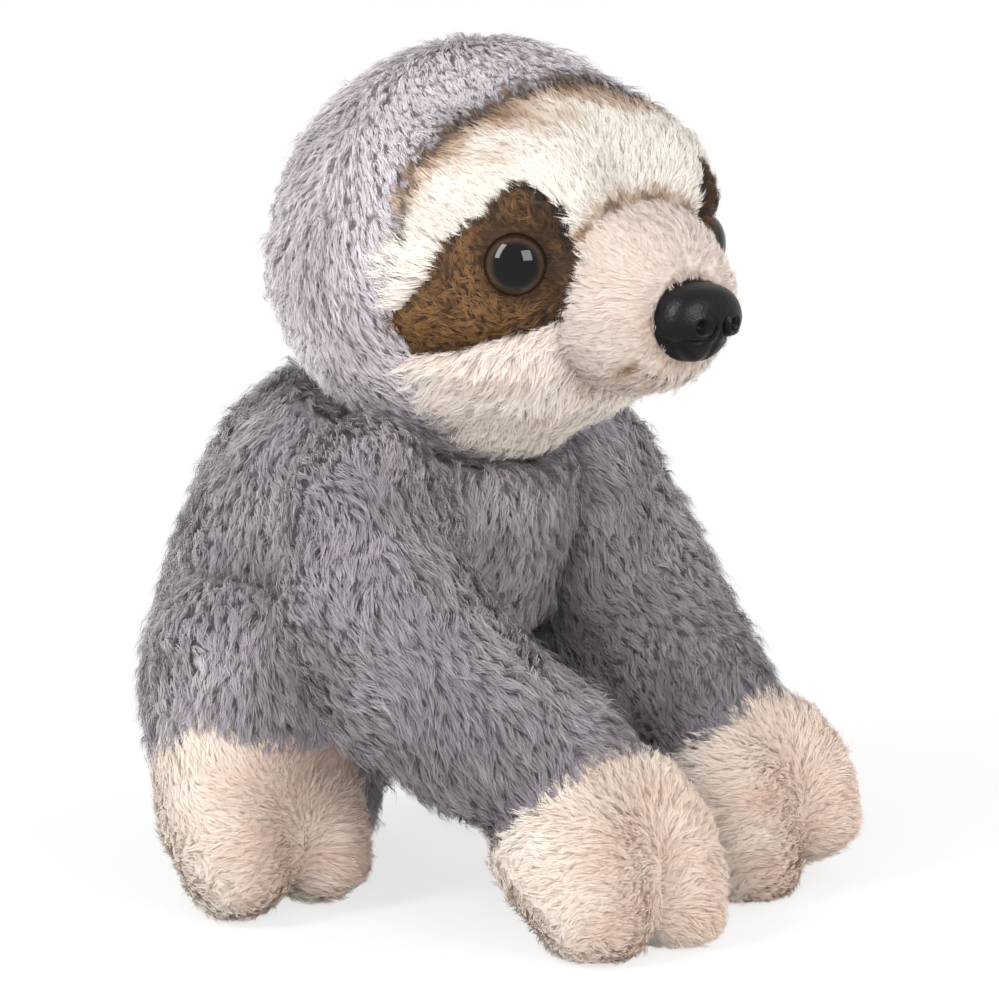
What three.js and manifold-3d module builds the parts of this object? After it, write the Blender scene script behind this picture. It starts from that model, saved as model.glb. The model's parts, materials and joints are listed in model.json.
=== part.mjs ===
// A plush sloth that sits upright: fabric covers cut in panels, stuffing, safety eyes, a moulded nose
// and stitches. Millimetres, +Z up. The sloth faces -Y, its left side is +X, and it sits on the plane
// Z = 0 with the middle of its seat at the origin.

import * as THREE from 'three';
import { mergeVertices } from 'three/addons/utils/BufferGeometryUtils.js';
import Module from 'manifold-3d';

const wasm = await Module();
wasm.setup();

// Covers, seams and clearances
const coverThickness = 2.4;
const stuffingClearance = 0.3;
const seamGap = 0.4;
const bodyClearance = 0.6;
const weldLength = 0.005;
const mergeLength = 0.0001;
const standDepth = 0.5;
const cutReach = 400;

// Torso
const torsoHeight = 112;
const torsoWaistShare = 0.3;
const torsoChestShare = 0.68;
const torsoSeatFullness = 0.42;
const torsoNeckFullness = 0.62;
const torsoSeatBack = 13;
const torsoWaistBack = 22;
const torsoChestForward = 5;
const torsoNeckForward = 19;
const torsoSeatHalfWidth = 27;
const torsoBellyHalfWidth = 42;
const torsoChestHalfWidth = 42;
const torsoNeckHalfWidth = 33;
const torsoSeatHalfDepth = 14;
const torsoBellyHalfDepth = 24;
const torsoChestHalfDepth = 38;
const torsoNeckHalfDepth = 30;
const chestPanelHalfWidth = 22;
const chestPanelTop = 104;
const seatPanelHeight = 8;
const pelletBagHalfWidth = 18;
const pelletBagHalfDepth = 9;
const pelletBagHeight = 22;
const pelletBagFullness = 0.7;

// Neck
const neckForward = 28;
const neckRise = 109;
const neckPlugRadius = 7;
const neckPlugDepth = 16;
const bowlClearance = 2.4;
const nodDegrees = 10;

// Head
const headTurnDegrees = -15;
const headHalfWidth = 42;
const headHalfDepth = 46;
const headHalfHeight = 41.5;
const headRise = 20;
const faceSeamForward = 11;
const faceSeamRise = 8;
const faceSeamLeanDegrees = 14;
const crownSeamRise = 12;
const crownSeamLeanDegrees = 12;
const cheekSeamRise = 5;

// Muzzle
const muzzleLength = 48;
const muzzleStart = 10;
const muzzleRise = -6;
const muzzleTipRise = -8;
const muzzleRootHalfWidth = 18.5;
const muzzleTipHalfWidth = 19.5;
const muzzleRootHalfHeight = 20;
const muzzleTipHalfHeight = 18.5;
const muzzleFullness = 0.45;

// Nose
const noseWidth = 19;
const noseHeight = 15.5;
const noseDepth = 8;
const noseRise = -1;
const nostrilRadius = 1.6;
const nostrilSpread = 4.2;
const nostrilRise = 1;

// Safety eyes, washers and stems
const eyeRadius = 6;
const eyeHeight = 4.4;
const eyeSideDegrees = 36;
const eyeRiseDegrees = 2;
const stemRadius = 1.8;
const stemLength = 9;
const washerRadius = 6.5;
const washerThickness = 1.2;
const washerSeatDepth = 3.4;
const fitClearance = 0.3;
const sinkDepth = 1.4;

// Eye patches
const patchLength = 37;
const patchHeight = 30;
const patchBackShares = [
  0.66, 0.6, 0.42, 0.33, 0.25, 0.1, -0.04, -0.22, -0.31, -0.27, -0.15, 0.04, 0.2, 0.32, 0.48,
];
const patchRiseShares = [
  -0.53, -0.4, -0.13, 0.05, 0.26, 0.43, 0.44, 0.3, 0, -0.27, -0.37, -0.43, -0.5, -0.56, -0.58,
];

// Arms
const shoulderSide = 32;
const shoulderForward = 25;
const shoulderRise = 84;
const upperArmSide = 41;
const upperArmForward = 26;
const upperArmRise = 72;
const elbowSide = 38;
const elbowForward = 42;
const elbowRise = 49;
const wristSide = 27;
const wristForward = 69;
const wristRise = 31;
const armRootRadius = 15;
const armMiddleRadius = 18.3;
const armWristRadius = 16.5;
const armFullness = 0.5;
const armSwingDegrees = 40;
const wristSeamForward = 1;
const handShare = 0.3;
const wristLeanDegrees = 45;

// Legs
const hipSide = 24;
const hipForward = -8;
const hipRise = 40;
const legTopSide = 35;
const legTopForward = -5;
const legTopRise = 66;
const thighSide = 39;
const thighForward = -4;
const thighRise = 40;
const ankleSide = 42;
const ankleForward = -4;
const ankleRise = 12;
const legTopRadius = 21.5;
const legMiddleRadius = 21.5;
const legAnkleRadius = 18;
const legFullness = 0.6;
const legSwingDegrees = 25;
const legSeamSide = 47;
const legSeamRise = 32;

// Paws and feet
const pawLength = 29;
const pawReach = 17;
const rightPawTurnDegrees = 16;
const leftPawTurnDegrees = -10;
const footTurnDegrees = 16;
const toeHalfWidth = 12.8;
const toeHalfDepth = 14;
const toeSpread = 10.3;
const toeTop = 6;
const toeSpreadShares = [0.45, 0.9, 1];
const toeBendShare = 0.5;
const toeTaperShare = 0.85;
const palmShare = 0.9;
const palmEndShare = 0.25;
const footLift = 2;
const rightPawOuterLift = 1;
const leftPawOuterLift = 7;
const pawFullness = 0.6;

// Threads
const threadRadius = 0.5;
const threadClearance = 0.6;
const closingStitches = 9;
const closingStartShare = 0.3;
const closingEndShare = 0.52;
const closingWidth = 1.5;
const mouthAngleDegrees = [-46, -60, -75, -90, -105, -120, -134];
const mouthAlongShares = [0.87, 0.9, 0.92, 0.925, 0.92, 0.9, 0.87];
const toeStitchShares = [0.62, 0.68, 0.74, 0.8, 0.86];

// Facets: rings along a form and sides around it
const torsoRings = 10;
const torsoSides = 20;
const headRings = 12;
const headSides = 22;
const muzzleRings = 8;
const muzzleSides = 14;
const limbRings = 8;
const limbSides = 12;
const toeRings = 6;
const toeSides = 10;
const roundSides = 16;
const threadSides = 5;
const domeSteps = 5;
const insideFacetShare = 0.75;
const sweepSteps = 2;

// Colours
const hoodColour = 0xafa8b2;
const bodyColour = 0x958e9a;
const creamColour = 0xf4efe6;
const cheekColour = 0xd7c8bc;
const muzzleColour = 0xe9dbd2;
const patchColour = 0x5e3a1e;
const pawColour = 0xe0ccbd;
const stuffingColour = 0xf3f2ee;
const pelletColour = 0xdedbd2;
const threadColour = 0x5a4032;
const eyeColour = 0x1c120d;
const noseColour = 0x232325;
const washerColour = 0xe8e8e4;

const up = new THREE.Vector3(0, 0, 1);
const front = new THREE.Vector3(0, -1, 0);
const lateral = new THREE.Vector3(1, 0, 0);
const bothSides = [['right', -1], ['left', 1]];

function radians(degrees) {
  return THREE.MathUtils.degToRad(degrees);
}

// Closed geometry to solid, and back

function solidFrom(geometry) {
  const bare = geometry.clone();
  bare.deleteAttribute('normal');
  bare.deleteAttribute('uv');
  const merged = mergeVertices(bare, mergeLength);
  return new wasm.Manifold(new wasm.Mesh({
    numProp: 3,
    vertProperties: new Float32Array(merged.attributes.position.array),
    triVerts: new Uint32Array(merged.index.array),
  }));
}

function geometryFrom(solid) {
  const mesh = solid.getMesh();
  const geometry = new THREE.BufferGeometry();
  geometry.setAttribute('position', new THREE.BufferAttribute(new Float32Array(mesh.vertProperties), 3));
  geometry.setIndex(new THREE.BufferAttribute(new Uint32Array(mesh.triVerts), 1));
  geometry.computeVertexNormals();
  return geometry;
}

// A cut leaves small offcuts beside the piece that is kept
function largestBody(solid) {
  return solid.decompose().reduce((kept, body) => (body.volume() > kept.volume() ? body : kept));
}

function united(solids) {
  return solids.reduce((whole, solid) => whole.add(solid));
}

// Stuffed forms: rings strung along a curve, whose half widths and half depths swell and taper

function valueAlong(values, along) {
  const points = values.map((value, index) => new THREE.Vector2(index, value));
  return new THREE.SplineCurve(points).getPoint(along).y;
}

function surfacePoint(form, along, angle, inset = 0) {
  const curve = new THREE.CatmullRomCurve3(form.spine);
  const insetShare = inset / curve.getLength();
  const place = THREE.MathUtils.clamp(insetShare + (1 - 2 * insetShare) * along, 0, 1);
  const overrun = (insetShare + (1 - 2 * insetShare) * along - place) * curve.getLength();
  const ahead = curve.getTangentAt(place);
  const side = form.side.clone().addScaledVector(ahead, -form.side.dot(ahead)).normalize();
  const rise = ahead.clone().cross(side);
  const slope = Math.acos(THREE.MathUtils.clamp(1 - 2 * along, -1, 1));
  const roundness = Math.sin(slope) ** THREE.MathUtils.lerp(...form.fullness, along);
  const halfWidth = (valueAlong(form.halfWidths, along) - inset) * roundness;
  const halfDepth = (valueAlong(form.halfDepths, along) - inset) * roundness;
  return curve.getPointAt(place)
    .addScaledVector(ahead, overrun)
    .addScaledVector(side, halfWidth * Math.cos(angle))
    .addScaledVector(rise, halfDepth * Math.sin(angle));
}

// The inside of a cover and the stuffing under it have fewer facets than the outside
function facets(count, inset) {
  return inset > 0 ? Math.ceil(count * insideFacetShare) : count;
}

// The rings lie closer towards the ends, and a form that is sat on has one more where the ground cuts it
function ringPlaces(form, inset) {
  const count = facets(form.rings, inset);
  const rounded = Array.from({ length: count - 1 }, (_, ring) => (
    (1 - Math.cos((Math.PI * (ring + 1)) / count)) / 2
  ));
  return form.standShare ? [form.standShare, ...rounded] : rounded;
}

function stuffedForm(form, inset = 0) {
  const places = ringPlaces(form, inset);
  const sides = facets(form.sides, inset);
  const points = [surfacePoint(form, 0, 0, inset)];
  for (const along of places) {
    for (let step = 0; step < sides; step += 1) {
      points.push(surfacePoint(form, along, (2 * Math.PI * step) / sides, inset));
    }
  }
  points.push(surfacePoint(form, 1, 0, inset));
  const triangles = [];
  const last = points.length - 1;
  for (let step = 0; step < sides; step += 1) {
    const next = (step + 1) % sides;
    triangles.push(0, 1 + next, 1 + step);
    for (let ring = 0; ring < places.length - 1; ring += 1) {
      const here = 1 + ring * sides;
      const there = here + sides;
      triangles.push(here + step, here + next, there + next, here + step, there + next, there + step);
    }
    const end = 1 + (places.length - 1) * sides;
    triangles.push(last, end + step, end + next);
  }
  const geometry = new THREE.BufferGeometry().setFromPoints(points);
  geometry.setIndex(triangles);
  return solidFrom(geometry);
}

// Cutters

function halfSpace(point, direction) {
  const box = new THREE.BoxGeometry(cutReach, cutReach, cutReach);
  box.translate(0, 0, cutReach / 2);
  box.applyQuaternion(new THREE.Quaternion().setFromUnitVectors(up, direction.clone().normalize()));
  box.translate(point.x, point.y, point.z);
  return solidFrom(box);
}

// The two sides of a flat seam, with the seam's gap between them
function splitBySeam(solid, point, direction) {
  const along = direction.clone().normalize();
  const ahead = halfSpace(point.clone().addScaledVector(along, seamGap / 2), along);
  const behind = halfSpace(point.clone().addScaledVector(along, -seamGap / 2), along.clone().negate());
  return [solid.intersect(ahead), solid.intersect(behind)];
}

function ellipsoid(centre, halfWidth, halfDepth, halfHeight, around, rings) {
  const sphere = new THREE.SphereGeometry(1, around, rings);
  sphere.rotateX(Math.PI / 2);
  sphere.scale(halfWidth, halfDepth, halfHeight);
  sphere.translate(centre.x, centre.y, centre.z);
  return solidFrom(sphere);
}

function turnedSolid(profile, place, direction) {
  const lathe = new THREE.LatheGeometry(profile.map(([x, y]) => new THREE.Vector2(x, y)), roundSides);
  lathe.rotateX(Math.PI / 2);
  lathe.applyQuaternion(new THREE.Quaternion().setFromUnitVectors(up, direction));
  lathe.translate(place.x, place.y, place.z);
  return solidFrom(lathe);
}

function rod(radius, start, end, place, direction) {
  return turnedSolid([[0, start], [radius, start], [radius, end], [0, end]], place, direction);
}

function thread(points, radius = threadRadius) {
  const outline = new THREE.Shape(Array.from({ length: threadSides }, (_, corner) => {
    const angle = (2 * Math.PI * corner) / threadSides;
    return new THREE.Vector2(radius * Math.cos(angle), radius * Math.sin(angle));
  }));
  return solidFrom(new THREE.ExtrudeGeometry(outline, {
    steps: 2 * (points.length - 1),
    extrudePath: new THREE.CatmullRomCurve3(points),
  }));
}

// The room that a solid takes as it is turned about the lateral axis through a pivot
function swept(solid, pivot, fromDegrees, toDegrees) {
  const turns = Array.from({ length: sweepSteps + 1 }, (_, step) => (
    THREE.MathUtils.lerp(fromDegrees, toDegrees, step / sweepSteps)
  ));
  return united(turns.map((degrees) => solid
    .translate([-pivot.x, -pivot.y, -pivot.z])
    .rotate([degrees, 0, 0])
    .translate([pivot.x, pivot.y, pivot.z])));
}

// Materials

function plushFabric(colour) {
  return new THREE.MeshStandardMaterial({ color: colour, roughness: 0.95, metalness: 0 });
}

function fibreFill(colour) {
  return new THREE.MeshStandardMaterial({ color: colour, roughness: 1, metalness: 0 });
}

function mouldedPlastic(colour, roughness) {
  return new THREE.MeshStandardMaterial({ color: colour, roughness, metalness: 0 });
}

function addPiece(group, name, solid, material) {
  const mesh = new THREE.Mesh(geometryFrom(largestBody(solid.simplify(weldLength))), material);
  mesh.name = name;
  group.add(mesh);
}

const sloth = new THREE.Group();
sloth.position.y = -torsoSeatBack;

// Torso: two back panels, a chest panel and a seat panel over stuffing, with a pellet bag in the seat

const torsoForm = {
  spine: [
    new THREE.Vector3(0, torsoSeatBack, -standDepth),
    new THREE.Vector3(0, torsoWaistBack, torsoHeight * torsoWaistShare),
    new THREE.Vector3(0, -torsoChestForward, torsoHeight * torsoChestShare),
    new THREE.Vector3(0, -torsoNeckForward, torsoHeight),
  ],
  halfWidths: [torsoSeatHalfWidth, torsoBellyHalfWidth, torsoChestHalfWidth, torsoNeckHalfWidth],
  halfDepths: [torsoSeatHalfDepth, torsoBellyHalfDepth, torsoChestHalfDepth, torsoNeckHalfDepth],
  side: lateral,
  fullness: [torsoSeatFullness, torsoNeckFullness],
  rings: torsoRings,
  sides: torsoSides,
  standShare: standDepth / torsoHeight,
};

const neckCentre = new THREE.Vector3(0, -neckForward, neckRise);
const headCentre = new THREE.Vector3(0, 0, headRise);
const bowlCentre = neckCentre.clone().add(headCentre);

// The room that the head takes in the shoulders as it turns and nods
function headBowl(inset) {
  const sideways = headHalfDepth + headRise * Math.sin(radians(nodDegrees)) + bowlClearance + inset;
  const downwards = headHalfHeight + bowlClearance + inset;
  return ellipsoid(bowlCentre, sideways, sideways, downwards, headSides, headRings);
}

function torsoBody(inset) {
  const ground = new THREE.Vector3(0, 0, inset);
  return stuffedForm(torsoForm, inset).intersect(halfSpace(ground, up)).subtract(headBowl(inset));
}

function neckBore(radius) {
  return rod(radius, -headHalfHeight - neckPlugDepth, 0, bowlCentre, up);
}

// The chest panel's outline, seen from the front, cuts the front of the cover
function chestRegion(growth) {
  const outline = new THREE.Shape();
  const middle = chestPanelTop / 2;
  outline.absellipse(0, middle, chestPanelHalfWidth + growth, chestPanelTop / 2 + growth, 0, 2 * Math.PI);
  const region = new THREE.ExtrudeGeometry(outline, {
    depth: cutReach,
    bevelEnabled: false,
    curveSegments: roundSides,
  });
  region.rotateX(Math.PI / 2);
  return solidFrom(region);
}

function buildTorso(group) {
  const bore = neckBore(neckPlugRadius + fitClearance);
  const cover = torsoBody(0).subtract(torsoBody(coverThickness)).subtract(bore);
  const [upperCover, seatPanel] = splitBySeam(cover, new THREE.Vector3(0, 0, seatPanelHeight), up);
  const chestPanel = upperCover.intersect(chestRegion(0));
  const [leftPanel, rightPanel] = splitBySeam(
    upperCover.subtract(chestRegion(seamGap)), new THREE.Vector3(), lateral,
  );
  const bagForm = {
    spine: [
      new THREE.Vector3(0, torsoSeatBack, 0),
      new THREE.Vector3(0, torsoSeatBack, pelletBagHeight),
    ],
    halfWidths: [pelletBagHalfWidth, pelletBagHalfWidth],
    halfDepths: [pelletBagHalfDepth, pelletBagHalfDepth],
    side: lateral,
    fullness: [pelletBagFullness, pelletBagFullness],
    rings: toeRings,
    sides: limbSides,
  };
  const filling = torsoBody(coverThickness + stuffingClearance).subtract(cover);
  const pelletBag = stuffedForm(bagForm).intersect(filling);
  const stuffing = filling
    .subtract(stuffedForm(bagForm, -stuffingClearance))
    .subtract(bore);
  addPiece(group, 'back_panel_right', rightPanel, plushFabric(bodyColour));
  addPiece(group, 'back_panel_left', leftPanel, plushFabric(bodyColour));
  addPiece(group, 'chest_panel', chestPanel, plushFabric(bodyColour));
  addPiece(group, 'seat_panel', seatPanel, plushFabric(bodyColour));
  addPiece(group, 'torso_stuffing', stuffing, fibreFill(stuffingColour));
  addPiece(group, 'pellet_bag', pelletBag, fibreFill(pelletColour));
  const stitches = Array.from({ length: closingStitches }, (_, stitch) => surfacePoint(
    torsoForm,
    THREE.MathUtils.lerp(closingStartShare, closingEndShare, stitch / (closingStitches - 1)),
    Math.PI / 2 + (stitch % 2 === 0 ? 1 : -1) * (closingWidth / torsoBellyHalfDepth),
    -threadRadius - threadClearance,
  ));
  addPiece(group, 'closing_stitch', thread(stitches), fibreFill(bodyColour));
}

buildTorso(sloth);

// Head: a stuffed hood and face with a muzzle, turned a little to the sloth's right on the neck

const headGroup = new THREE.Group();
headGroup.position.copy(neckCentre);
headGroup.rotation.z = radians(headTurnDegrees);
sloth.add(headGroup);

const muzzleForm = {
  spine: [
    headCentre.clone().add(new THREE.Vector3(0, -muzzleStart, muzzleRise)),
    headCentre.clone().add(new THREE.Vector3(0, -muzzleStart - muzzleLength / 2, muzzleRise)),
    headCentre.clone().add(new THREE.Vector3(0, -muzzleStart - muzzleLength, muzzleTipRise)),
  ],
  halfWidths: [muzzleRootHalfWidth, muzzleRootHalfWidth, muzzleTipHalfWidth],
  halfDepths: [muzzleRootHalfHeight, muzzleRootHalfHeight, muzzleTipHalfHeight],
  side: lateral,
  fullness: [muzzleFullness, muzzleFullness],
  rings: muzzleRings,
  sides: muzzleSides,
};

// The neck's stuffing stands in the shoulders, and the head nods on the cup at its top
function buildNeck(group) {
  const plug = rod(neckPlugRadius, -headHalfHeight - neckPlugDepth, 0, headCentre, up)
    .subtract(swept(cranium(-fitClearance), new THREE.Vector3(), -nodDegrees, nodDegrees));
  addPiece(group, 'neck_stuffing', plug, fibreFill(stuffingColour));
}

function cranium(inset) {
  return ellipsoid(
    headCentre, headHalfWidth - inset, headHalfDepth - inset, headHalfHeight - inset,
    facets(headSides, inset), facets(headRings, inset),
  );
}

function eyeDirection(side) {
  return front.clone()
    .applyAxisAngle(lateral, radians(-eyeRiseDegrees))
    .applyAxisAngle(up, radians(side * eyeSideDegrees));
}

// Where an eye's axis leaves the cranium, and the way that the cranium faces there
function eyeSeat(side) {
  const halves = new THREE.Vector3(headHalfWidth, headHalfDepth, headHalfHeight);
  const direction = eyeDirection(side);
  const offset = direction.clone().divideScalar(direction.clone().divide(halves).length());
  const facing = offset.clone().divide(halves).divide(halves).normalize();
  return { place: headCentre.clone().add(offset), facing };
}

// An eye patch's outline, a teardrop whose tail runs back and down from the eye
function patchRegion(side, growth) {
  const points = patchBackShares.map((share, index) => new THREE.Vector2(
    side * share * patchLength, patchRiseShares[index] * patchHeight,
  ));
  const outline = points.map((point) => {
    const length = point.length();
    return point.clone().multiplyScalar((length + growth) / length);
  });
  const region = new THREE.ExtrudeGeometry(new THREE.Shape(outline), {
    depth: cutReach,
    bevelEnabled: false,
  });
  region.rotateX(Math.PI / 2);
  region.rotateX(radians(-eyeRiseDegrees));
  region.rotateZ(radians(side * eyeSideDegrees));
  region.translate(headCentre.x, headCentre.y, headCentre.z);
  return solidFrom(region);
}

function domeProfile(radius, height) {
  const arc = new THREE.EllipseCurve(0, 0, radius, height, 0, Math.PI / 2).getPoints(domeSteps);
  return [
    [0, -stemLength], [stemRadius, -stemLength], [stemRadius, 0],
    ...arc.slice(0, -1).map((point) => [point.x, point.y]), [0, height],
  ];
}

function washer(place, facing) {
  const bore = stemRadius + fitClearance;
  const face = sinkDepth - coverThickness - washerSeatDepth;
  const back = face - washerThickness;
  return turnedSolid([[bore, back], [washerRadius, back], [washerRadius, face], [bore, face], [bore, back]],
    place, facing);
}

// The pocket that a washer and the end of its stem take in the stuffing
function washerPocket(place, facing) {
  return rod(washerRadius + fitClearance, -stemLength - fitClearance, stemLength, place, facing);
}

function stemHole(place, facing) {
  return rod(stemRadius + fitClearance, -2 * stemLength, 2 * stemLength, place, facing);
}

// An eye or the nose is drawn into the pile, so its cover has a round seat that is deeper than the pile
function buttonSeat(radius, place, facing) {
  return rod(radius + fitClearance, -fitClearance, stemLength, place, facing).add(stemHole(place, facing));
}

function buildHead(group) {
  const face = front.clone().applyAxisAngle(lateral, radians(faceSeamLeanDegrees));
  const crownUp = up.clone().applyAxisAngle(lateral, radians(-crownSeamLeanDegrees));
  const cover = cranium(0).subtract(cranium(coverThickness));
  const faceSeam = headCentre.clone().add(new THREE.Vector3(0, -faceSeamForward, faceSeamRise));
  const [wholeFace, hood] = splitBySeam(cover, faceSeam, face);
  const crownSeam = headCentre.clone().add(new THREE.Vector3(0, -faceSeamForward, crownSeamRise));
  const [crown, hoodSides] = splitBySeam(hood, crownSeam, crownUp);
  const [leftHood, rightHood] = splitBySeam(hoodSides, headCentre, lateral);
  addPiece(group, 'crown_panel', crown, plushFabric(hoodColour));
  addPiece(group, 'hood_side_right', rightHood, plushFabric(hoodColour));
  addPiece(group, 'hood_side_left', leftHood, plushFabric(hoodColour));

  const tip = new THREE.Vector3(0, sinkDepth - muzzleStart - muzzleLength, muzzleTipRise + noseRise)
    .add(headCentre);
  let openFace = wholeFace.subtract(stuffedForm(muzzleForm, -seamGap));
  let stuffing = cranium(coverThickness + stuffingClearance)
    .add(stuffedForm(muzzleForm, coverThickness + stuffingClearance))
    .subtract(washerPocket(tip, front));
  for (const [sideName, side] of bothSides) {
    const { place, facing } = eyeSeat(side);
    const seat = place.clone().addScaledVector(facing, -sinkDepth);
    const patch = openFace.intersect(patchRegion(side, 0)).subtract(buttonSeat(eyeRadius, seat, facing));
    openFace = openFace.subtract(patchRegion(side, seamGap));
    stuffing = stuffing.subtract(washerPocket(seat, facing));
    addPiece(group, `eye_patch_${sideName}`, patch, plushFabric(patchColour));
    addPiece(group, `eye_${sideName}`, turnedSolid(domeProfile(eyeRadius, eyeHeight), seat, facing),
      mouldedPlastic(eyeColour, 0.08));
    addPiece(group, `eye_washer_${sideName}`, washer(seat, facing), mouldedPlastic(washerColour, 0.5));
  }
  const [forehead, cheeks] = splitBySeam(
    openFace, headCentre.clone().add(new THREE.Vector3(0, 0, cheekSeamRise)), up,
  );
  addPiece(group, 'forehead_panel', forehead, plushFabric(creamColour));
  addPiece(group, 'cheek_panel', cheeks, plushFabric(cheekColour));
  const muzzleCover = stuffedForm(muzzleForm)
    .subtract(stuffedForm(muzzleForm, coverThickness))
    .subtract(cranium(coverThickness))
    .subtract(buttonSeat(noseWidth / 2, tip, front));
  addPiece(group, 'muzzle_cover', muzzleCover, plushFabric(muzzleColour));
  addPiece(group, 'head_stuffing', stuffing, fibreFill(stuffingColour));
  addPiece(group, 'nose', noseSolid(tip), mouldedPlastic(noseColour, 0.4));
  addPiece(group, 'nose_washer', washer(tip, front), mouldedPlastic(washerColour, 0.5));
  const mouth = mouthAngleDegrees.map((degrees, index) => surfacePoint(
    muzzleForm, mouthAlongShares[index], radians(degrees), -threadRadius - threadClearance,
  ));
  addPiece(group, 'mouth_stitch', thread(mouth), fibreFill(threadColour));
}

// The nose: a dome wider than it is high, with two nostrils, on a stem
function noseSolid(place) {
  const halfWidth = noseWidth / 2;
  const halfHeight = noseHeight / 2;
  const dome = ellipsoid(place, halfWidth, noseDepth, halfHeight, roundSides, roundSides / 2)
    .intersect(halfSpace(place, front));
  const stem = rod(stemRadius, -stemLength, noseDepth / 2, place, front);
  const flank = (nostrilSpread / halfWidth) ** 2 + (nostrilRise / halfHeight) ** 2;
  const reach = noseDepth * Math.sqrt(1 - flank);
  const nostrils = [-1, 1].map((nostril) => ellipsoid(
    place.clone().add(new THREE.Vector3(nostril * nostrilSpread, -reach, nostrilRise)),
    nostrilRadius, nostrilRadius, nostrilRadius, domeSteps, domeSteps,
  ));
  return dome.add(stem).subtract(united(nostrils));
}

buildNeck(headGroup);
buildHead(headGroup);

// Limbs: each is a sleeve of two panels and a beige paw or foot cover over one body of stuffing

// A paw or foot is a palm and two toes, which draw together where they leave the limb. One that rolls
// outwards lifts its outer toe.
function pawForms({ root, lift }, { turnDegrees, outerLift }) {
  const turn = radians(turnDegrees);
  const at = (spread, reach, rise) => new THREE.Vector3(spread, -reach, 0)
    .applyAxisAngle(up, turn)
    .add(new THREE.Vector3(root.x, root.y, lift + rise));
  const shared = {
    side: lateral.clone().applyAxisAngle(up, turn),
    fullness: [pawFullness, pawFullness],
    rings: toeRings,
    sides: toeSides,
  };
  const palmHalfWidth = toeHalfWidth * palmShare;
  const palmHalfDepth = toeHalfDepth * palmShare;
  const palm = {
    ...shared,
    spine: [at(0, -toeTop, pawLength + toeTop), at(0, pawReach * toeBendShare, pawLength * palmEndShare)],
    halfWidths: [palmHalfWidth, palmHalfWidth],
    halfDepths: [palmHalfDepth, palmHalfDepth],
  };
  const toes = [[-1, 0], [1, outerLift]].map(([toe, raised]) => ({
    ...shared,
    spine: [
      at(toe * toeSpread * toeSpreadShares[0], -toeTop, pawLength + toeTop),
      at(toe * toeSpread * toeSpreadShares[1], pawReach * toeBendShare, (pawLength + raised) * toeBendShare),
      at(toe * toeSpread * toeSpreadShares[2], pawReach, raised - standDepth),
    ],
    halfWidths: [toeHalfWidth, toeHalfWidth, toeHalfWidth * toeTaperShare],
    halfDepths: [toeHalfDepth, toeHalfDepth, toeHalfDepth * toeTaperShare],
  }));
  return [palm, ...toes];
}

// The stitch that parts two toes runs down the valley between them
function toeStitch(form) {
  return thread(toeStitchShares.map((along) => {
    const offset = toeSpread * valueAlong(toeSpreadShares, along);
    const angle = Math.PI - Math.acos(offset / valueAlong(form.halfWidths, along));
    const raised = (threadRadius + threadClearance) / Math.sin(angle);
    return surfacePoint(form, along, angle, -raised);
  }));
}

function limbBody(limb, inset) {
  return united([limb.form, ...limb.pawForms].map((form) => stuffedForm(form, inset)))
    .intersect(halfSpace(new THREE.Vector3(0, 0, inset), up));
}

// Each limb is modelled as a left one, and the right one is its mirror image
function buildLimb(group, limb) {
  const { names } = limb;
  for (const [sideName, side] of bothSides) {
    const placed = (solid) => (side > 0 ? solid : solid.mirror([1, 0, 0]));
    const room = placed(limb.room);
    const shaped = { ...limb, pawForms: pawForms(limb.paw, limb.paws[sideName]) };
    const cover = largestBody(limbBody(shaped, 0).subtract(limbBody(shaped, coverThickness)).subtract(room));
    const [end, sleeve] = splitBySeam(cover, limb.seam, limb.seamDirection);
    const [outer, inner] = splitBySeam(sleeve, limb.middle, lateral);
    const stuffing = limbBody(shaped, coverThickness + stuffingClearance).subtract(room);
    const stitch = toeStitch(shaped.pawForms.at(-1));
    addPiece(group, `${names.sleeve}_outer_${sideName}`, placed(outer), plushFabric(bodyColour));
    addPiece(group, `${names.sleeve}_inner_${sideName}`, placed(inner), plushFabric(bodyColour));
    addPiece(group, `${names.end}_cover_${sideName}`, placed(end), plushFabric(pawColour));
    addPiece(group, `${names.limb}_stuffing_${sideName}`, placed(stuffing), fibreFill(stuffingColour));
    addPiece(group, `${names.end}_stitch_${sideName}`, placed(stitch), fibreFill(pawColour));
  }
}

const shoulder = new THREE.Vector3(shoulderSide, -shoulderForward, shoulderRise);
const upperArm = new THREE.Vector3(upperArmSide, -upperArmForward, upperArmRise);
const elbow = new THREE.Vector3(elbowSide, -elbowForward, elbowRise);
const wrist = new THREE.Vector3(wristSide, -wristForward, wristRise);
const hand = wrist.clone().add(new THREE.Vector3(0, -pawReach * handShare, -pawLength * handShare));

buildLimb(sloth, {
  names: { limb: 'arm', sleeve: 'sleeve', end: 'paw' },
  form: {
    spine: [shoulder.clone().addScaledVector(up, armRootRadius), upperArm, elbow, wrist, hand],
    halfWidths: [armRootRadius, armMiddleRadius, armMiddleRadius, armWristRadius, armWristRadius],
    halfDepths: [armRootRadius, armMiddleRadius, armMiddleRadius, armWristRadius, armWristRadius],
    side: lateral,
    fullness: [armFullness, armFullness],
    rings: limbRings,
    sides: limbSides,
  },
  paw: { root: wrist, lift: 0 },
  paws: {
    right: { turnDegrees: rightPawTurnDegrees, outerLift: rightPawOuterLift },
    left: { turnDegrees: leftPawTurnDegrees, outerLift: leftPawOuterLift },
  },
  seam: wrist.clone().add(new THREE.Vector3(0, -wristSeamForward, 0)),
  seamDirection: front.clone().applyAxisAngle(lateral, radians(wristLeanDegrees)),
  middle: elbow,
  room: swept(torsoBody(-bodyClearance).add(headBowl(-bodyClearance)), shoulder, 0, armSwingDegrees),
});

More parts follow.
